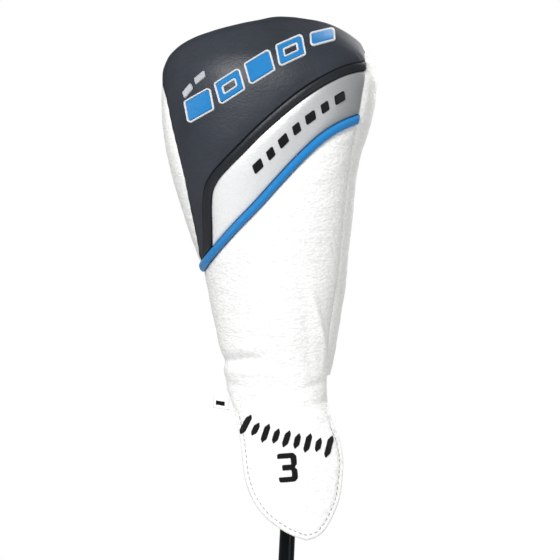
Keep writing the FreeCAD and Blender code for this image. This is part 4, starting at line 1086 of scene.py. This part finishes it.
def patch(shapes, high, pitch=0.45, sink=0.3, edge=0.8):
    """Raised satin stitch over (outline, [holes]) shapes in (x, z), its rim rounded over edge."""
    verts, faces = [], []
    for outer, holes in shapes:
        outer = dense(rounded(outer), pitch)
        holes = [dense(rounded(hole, 0.5), pitch) for hole in holes]

        def filled(points):
            keep = inside(outer, points)
            for hole in holes:
                keep &= ~inside(hole, points)
            return keep

        low, high_corner = outer.min(0), outer.max(0)
        points = []
        for k, z in enumerate(np.arange(low[1], high_corner[1], pitch * 0.87)):
            for x in np.arange(low[0] + (pitch / 2 if k % 2 else 0), high_corner[0], pitch):
                points.append((x, z))
        points = np.array(points)
        points = points[filled(points)]
        rings = [outer] + holes
        tree = point_tree(np.concatenate(rings))
        flat, edges = [], []
        for ring in rings:
            k = len(flat)
            flat += [Vector(p) for p in ring]
            edges += [(k + i, k + (i + 1) % len(ring)) for i in range(len(ring))]
        flat += [Vector(p) for p in points if distance_to(tree, p) > pitch * 0.5]
        out = delaunay_2d_cdt(flat, edges, [], 0, 1e-6)
        co = np.array([(p.x, p.y) for p in out[0]])
        keep = filled(np.array([co[list(face)].mean(0) for face in out[2]]))
        base = len(verts)
        for x, z in co:
            p, normal = on_cover(x, z)
            t = min(distance_to(tree, (x, z)) / edge, 1.0)
            verts.append(p + normal * (-sink + (high + sink) * math.sqrt(max(0.0, 1 - (1 - t) ** 2))))
        faces += [[base + i for i in face] for face, ok in zip(out[2], keep) if ok]
    return verts, faces


def border_roll(paths, width, high, sink=0.25, sides=6, step=0.5):
    """Satin border stitch: a low half-round roll along closed paths in (x, z)."""
    verts, faces = [], []
    for path in paths:
        points = dense(rounded(path), step)
        ahead = unit(np.roll(points, -1, axis=0) - np.roll(points, 1, axis=0))
        faces += strip_faces(len(points), sides + 1, base=len(verts), closed=True)
        for point, (ux, uz) in zip(points, ahead):
            for k in range(sides + 1):
                angle = math.pi * k / sides
                x, z = point + math.cos(angle) * width / 2 * np.array([-uz, ux])
                p, normal = on_cover(x, z)
                verts.append(p + normal * (-sink + (high + sink) * math.sin(angle)))
    return verts, faces


def stitch_row(line, spacing, length, wide, high, rings=9, sides=8):
    """Separate lock stitches along a line in (x, z): beads of thread dipping in at both ends."""
    total = running(lengths_of(line))
    verts, faces = [], []
    start = 1.0
    while start + length < total[-1]:
        stations = []
        for t in np.linspace(0, 1, rings):
            at = start + t * length
            place = on_cover(np.interp(at, total, line[:, 0]), np.interp(at, total, line[:, 1]))
            stations.append((*place, math.sin(math.pi * t) ** 0.5))
        base = len(verts)
        for k, (p, normal, swell) in enumerate(stations):
            ahead = unit(stations[min(k + 1, rings - 1)][0] - stations[max(k - 1, 0)][0])
            side = np.cross(normal, ahead)
            half_wide = wide / 2 * (0.35 + 0.65 * swell)
            half_high = high / 2 * (0.4 + 0.6 * swell)
            for j in range(sides):
                angle = 2 * math.pi * j / sides
                rise = math.sin(angle) * half_high - 0.12 + 0.22 * swell
                verts.append(p + side * math.cos(angle) * half_wide + normal * rise)
        faces += tube_faces(rings, sides, base)
        faces.append([base + j for j in range(sides)][::-1])
        faces.append([base + (rings - 1) * sides + j for j in range(sides)])
        start += spacing
    return verts, faces


def thread_piece(name, slot, replaced, verts, faces):
    """Thread object whose faces look to the front."""
    ob = cover_mesh(name, verts, faces)
    bm = bmesh.new()
    bm.from_mesh(ob.data)
    bmesh.ops.remove_doubles(bm, verts=bm.verts, dist=0.00001)
    for face in bm.faces:
        if face.normal.y > 0.05:
            face.normal_flip()
    bmesh.ops.recalc_face_normals(bm, faces=bm.faces)
    if sum(face.normal.y * face.calc_area() for face in bm.faces) > 0:
        bmesh.ops.reverse_faces(bm, faces=bm.faces)
    bm.to_mesh(ob.data)
    bm.free()
    shade_smooth(ob.data)
    dress(ob, slot, replaced)
    return ob


# paths in (x, z) that the motifs lie along
BLOCK_PATH = [
    (-71.3, 96.6), (-59.0, 103.8), (-45.8, 113.1), (-32.6, 122.7), (-19.4, 131.9),
    (-6.7, 139.0), (6.3, 146.0), (14.0, 149.0)]
LOZENGE_PATH = [(-74.5, 106.0), (-68.0, 114.5), (-59.0, 122.5)]
DASH_PATH = [
    (-30.4, 63.6), (-21.4, 73.2), (-10.2, 85.6), (1.2, 95.9), (12.6, 104.9), (24.3, 113.1)]
BAR_PATH = [(-32.0, -88.5), (-18.6, -93.6), (-1.3, -97.4), (15.9, -99.8), (28.0, -101.6)]
BAR_HALF_HEIGHTS = (7.4, 5.0, 6.6, 5.4, 6.0, 5.4, 6.6, 5.0, 7.4)
NUMBER_PATH = [(-2.0, -114.5), (-1.0, -114.37)]
THREE = [
    (-5.0, 9.0), (4.0, 9.0), (6.0, 7.0), (6.0, 1.6), (4.4, 0.0), (6.0, -1.6), (6.0, -7.0),
    (4.0, -9.0), (-5.0, -9.0), (-6.0, -8.0), (-6.0, -5.6), (2.2, -5.6), (2.2, -1.8),
    (-3.4, -1.8), (-3.4, 1.8), (2.2, 1.8), (2.2, 5.6), (-6.0, 5.6), (-6.0, 8.0)]


def build_blue_blocks():
    """Five leaning blocks with borders; the second and fourth are open in the middle."""
    fills, rims = [], []
    for i in range(5):
        a, b = (8.0, 5.8) if i < 4 else (7.0, 3.6)

        def leaning(inset, cut=1.4):
            return laid(BLOCK_PATH, 7.6 + 21.2 * i, block(a - inset, b - inset, cut), lean=0.30)

        rims.append(leaning(-0.45))
        holes = []
        if i % 2:
            holes.append(leaning(3.4, cut=0.6))
            rims.append(leaning(3.6, cut=0.5))
        fills.append((leaning(0.0), holes))
    thread_piece("blue_blocks_satin", "thread_blue", "blue_motif", *patch(fills, high=0.85))
    thread_piece("blue_blocks_border", "thread_white", "blue_motif_outline",
                 *border_roll(rims, width=1.25, high=0.95))


def bar(tall):
    """Narrow upright hexagon with two opposite slanted ends."""
    return [(0, -tall), (2.1, -tall + 3.2), (1.7, tall - 2.4),
            (0, tall), (-2.1, tall - 3.2), (-1.7, -tall + 2.4)]


def build_small_motifs():
    lozenges = [laid(LOZENGE_PATH, s, block(4.0, 2.0, 0.8), lean=0.5) for s in (4.0, 14.5)]
    dashes = [laid(DASH_PATH, 3.2 + 10.6 * i, block(2.9 if i % 2 else 3.7, 2.7, 0.9), lean=0.45)
              for i in range(7)]
    bars = [laid(BAR_PATH, 3.4 + 6.6 * i, bar(tall), lean=0.1)
            for i, tall in enumerate(BAR_HALF_HEIGHTS)]
    three = [laid(NUMBER_PATH, 0.0, THREE)]
    for name, slot, replaced, outlines, high, pitch in (
        ("small_lozenge_satin", "thread_silver", "small_motif", lozenges, 0.7, 0.35),
        ("band_dash_satin", "thread_black", "band_motif", dashes, 0.7, 0.35),
        ("tongue_bar_satin", "thread_black", "tongue_motif", bars, 0.75, 0.35),
        ("number_satin", "thread_black", "club_number", three, 0.75, 0.4),
    ):
        shapes = [(outline, []) for outline in outlines]
        thread_piece(name, slot, replaced, *patch(shapes, high, pitch))


def build_topstitch():
    """Row of stitches inside the tongue's rim."""
    rim = np.concatenate([toe_edge[:0:-1], heel_edge])
    rim = rim[rim[:, 1] < v_of(-84.0)]
    rim = form(rim[:, 0], rim[:, 1])[:, [0, 2]]
    tongue_middle = np.array([0.0, -112.0])
    line = []
    for k, point in enumerate(rim):
        ahead = unit(rim[min(k + 1, len(rim) - 1)] - rim[max(k - 1, 0)])
        inward = np.array([-ahead[1], ahead[0]])
        if inward @ (tongue_middle - point) < 0:
            inward = -inward
        line.append(point + inward * 3.3)
    row = stitch_row(np.array(line), spacing=3.4, length=2.5, wide=0.62, high=0.5)
    ob = thread_piece("tongue_topstitch", "thread_white", "tongue_stitches", *row)
    # mid grey hem thread, darker than the white thread: part its own colour, part painted shade of the
    # stitch holes
    ob.data.materials[0] = satin("thread_hem", (0.52, 0.52, 0.51), degrees=50, sheen=0.1)


build_blue_blocks()
build_small_motifs()
build_topstitch()
for name, *_, slot in PANEL_TABLE:
    dress(PANELS[name], slot, name)

# ------------------------------------------------------------------ inside of the cover


def build_lining(rows=150, columns=200):
    verts = []
    for i in range(rows):
        t = i / (rows - 1)
        for j in range(columns):
            u = j / columns
            bottom = hem_z(float(form(u, v_of(-62.0))[0])) + 1.4
            v = float(v_of(bottom + (156.5 - bottom) * (1 - (1 - t) ** 1.3)))
            p = form(u, v)
            z = float(np.interp(v, V_FINE, Z_FINE))
            neck = math.exp(-(((z + 50.0) / 14.0) ** 2))
            pile = 0.5 * noise.noise(tuple(p * 0.09)) + 0.25 * noise.noise(tuple(p * 0.4))
            verts.append(p - form(u, v, NORMALS) * (3.3 + 1.3 * neck + 0.3 * pile))
    faces = tube_faces(rows, columns)
    faces.append([(rows - 1) * columns + j for j in range(columns)])
    ob = cover_mesh("lining_fleece", verts, faces)
    face_out(ob)
    solidify(ob, 2.0)
    dress(ob, "fleece", "fleece_lining")


def build_neck_elastic(rows=14, columns=360):
    """Ribbed band inside the neck, its lowest row 10 mm over the hem line."""
    verts = []
    for i in range(rows):
        for j in range(columns):
            u = j / columns
            v = float(v_of(hem_z(float(form(u, v_of(-50.0))[0])) + 10.0 + i * 1.0))
            rib = 0.22 * math.sin(u * float(perimeter(v)) * 2 * math.pi / 3.1)
            lip = 0.15 if i in (0, rows - 1) else 0
            verts.append(form(u, v) - form(u, v, NORMALS) * (3.55 + rib + lip))
    ob = cover_mesh("neck_elastic_band", verts, tube_faces(rows, columns))
    face_out(ob)
    solidify(ob, 0.8)
    dress(ob, "elastic", "neck_elastic")


def build_tongue_backing():
    """Fleece behind the tongue, drawn in from its rim."""
    toe_side = toe_edge[toe_edge[:, 1] < v_of(-66.0)]
    heel_side = heel_edge[heel_edge[:, 1] < v_of(-66.0)]
    loop = tidy(np.concatenate([toe_side[::-1], heel_side]), 1.0)
    heel_u = np.interp(toe_side[:, 1], heel_side[:, 1], heel_side[:, 0])
    middle = np.interp(loop[:, 1], toe_side[:, 1], (toe_side[:, 0] + heel_u) / 2)
    half = np.abs(loop[:, 0] - middle) * perimeter(loop[:, 1])
    keep = np.clip((half - 1.6) / np.maximum(half, 1e-6), 0, 1)
    loop[:, 0] = middle + (loop[:, 0] - middle) * keep
    loop[:, 1] = np.maximum(loop[:, 1], V_TIP + 1.8)
    uv, faces = mesh_loop(tidy(loop, 0.9), 2.0, 0.0)
    points, normals = form(uv[:, 0], uv[:, 1]), form(uv[:, 0], uv[:, 1], NORMALS)
    pile = np.array([0.35 * noise.noise(tuple(p * 0.25)) for p in points])
    ob = cover_mesh("tongue_backing_fleece", points - normals * (2.3 + pile)[:, None], faces)
    face_out(ob)
    solidify(ob, 1.3)
    dress(ob, "fleece")


def build_seam_tag():
    """A folded woven loop standing out to the toe side, with one dark bar."""
    seam_x, seam_y, seam_z = -39.7, -9.5, -78.8
    length, height, bulge, slant = 9.6, 6.6, 0.75, 0.12
    length_steps, height_steps = 28, 10
    verts = []
    for k in range(length_steps + 1):
        a = k / length_steps * 2 - 1
        x = -length * (1 - abs(a))
        y = bulge * math.copysign(min(1, abs(a) * 3) ** 0.5, a) * (0.75 + 0.25 * math.cos(a * 3))
        for j in range(height_steps + 1):
            h = (j / height_steps - 0.5) * height
            verts.append((seam_x + x, seam_y + y - 0.05 * x + 0.02 * h, seam_z + h - slant * x))
    ob = cover_mesh("seam_tag_loop", verts, strip_faces(length_steps + 1, height_steps + 1))
    solidify(ob, 0.35, offset=0.0)
    dress(ob, "tag_woven", "seam_tag")
    ob.data.materials.append(MATERIALS["thread_black"])
    for face in ob.data.polygons:
        centre = face.center * 1000
        x = centre.x - seam_x
        if -8.2 < x < -2.6 and abs(centre.z - DATUM_Z - seam_z + slant * x) < 1.1:
            face.material_index = 1


build_lining()
build_neck_elastic()
build_tongue_backing()
build_seam_tag()

# ------------------------------------------------------------------ the club's CAD parts
SLOT_OF = {part["node"]: part["material_slot"] for part in frame["record"]["subparts"]}
for name in (
    "grip", "grip_tape", "shaft", "tip_weight", "ferrule", "loft_sleeve", "index_ring",
    "screw_washer", "hosel_screw", "face_plate", "crown_plate", "head_body", "rear_weight",
    "front_ballast", "stiffener_bars",
):
    part = frame["nodes"][name]
    part.data.materials.clear()
    part.data.materials.append(MATERIALS[SLOT_OF[name]])

# ------------------------------------------------------------------ floor, light and camera
scene = bpy.context.scene


def build_floor(radius=2.6, z=-0.0004, sides=96):
    angles = [2 * math.pi * k / sides for k in range(sides)]
    rim = [(radius * math.cos(a), radius * math.sin(a), z) for a in angles]
    floor = make_mesh("floor", rim, [list(range(sides))])
    material, g = new_material("floor_pale")
    cloud = g.noise(g.coords(), scale=6.0)
    g.shade({
        "Base Color": g.mix(cloud, (0.80, 0.80, 0.795), (0.84, 0.84, 0.835)),
        "Roughness": 0.8,
    })
    floor.data.materials.append(material)


def build_world():
    """Soft light all round, stronger from the toe side, in a room of near-white walls."""
    world = bpy.data.worlds.new("studio")
    scene.world = world
    g = Graph(world)
    g.nodes.clear()
    direction = g.split(g.node("TexCoord", {}).outputs["Generated"])
    light = g.remap(direction["X"], (-1.0, 1.0), target=(0.50, 0.38))
    wall = g.remap(direction["Y"], (0.90, 0.985), target=(0.86, 1.0))
    white = (1.0, 1.0, 1.0, 1)
    lit, seen = (g.node("Background", {"Strength": strength, "Color": white}).outputs[0]
                 for strength in (light, wall))
    camera_ray = g.node("LightPath", {}).outputs["Is Camera Ray"]
    mixed = g.node("MixShader", {0: camera_ray, 1: lit, 2: seen}).outputs[0]
    g.node("OutputWorld", {"Surface": mixed})


def disk_light(name, place, aim, size, power):
    light = bpy.data.lights.new(name, "AREA")
    light.shape = "DISK"
    light.size = size
    light.energy = power
    ob = bpy.data.objects.new(name, light)
    scene.collection.objects.link(ob)
    ob.location = place
    ob.rotation_mode = "QUATERNION"
    ob.rotation_quaternion = (Vector(aim) - Vector(place)).to_track_quat("-Z", "Y")


def build_camera():
    """Long lens looking along +Y, rolled a little."""
    data = bpy.data.cameras.new("camera")
    data.sensor_width = 36.0
    data.lens = 165.9
    data.clip_start, data.clip_end = 0.05, 50.0
    camera = bpy.data.objects.new("camera", data)
    scene.collection.objects.link(camera)
    roll = math.radians(2.7)
    right = (math.cos(roll), 0, math.sin(roll))
    up = (-math.sin(roll), 0, math.cos(roll))
    turn = Matrix((right, up, (0, -1, 0))).transposed().to_4x4()
    camera.matrix_world = Matrix.Translation((-0.0120, -1.600, 1.0114)) @ turn
    scene.camera = camera


build_floor()
scene.view_settings.view_transform = "Standard"
scene.view_settings.look = "None"
build_world()
disk_light("key", place=(-0.75, -2.1, 2.55), aim=(-0.02, -0.03, 1.03), size=1.1, power=72.0)
disk_light("fill", place=(1.7, -1.7, 0.9), aim=(-0.02, -0.03, 1.02), size=1.2, power=8.0)
disk_light("back_rim", place=(0.9, 1.9, 1.9), aim=(0.0, 0.0, 1.0), size=1.2, power=34.0)
build_camera()
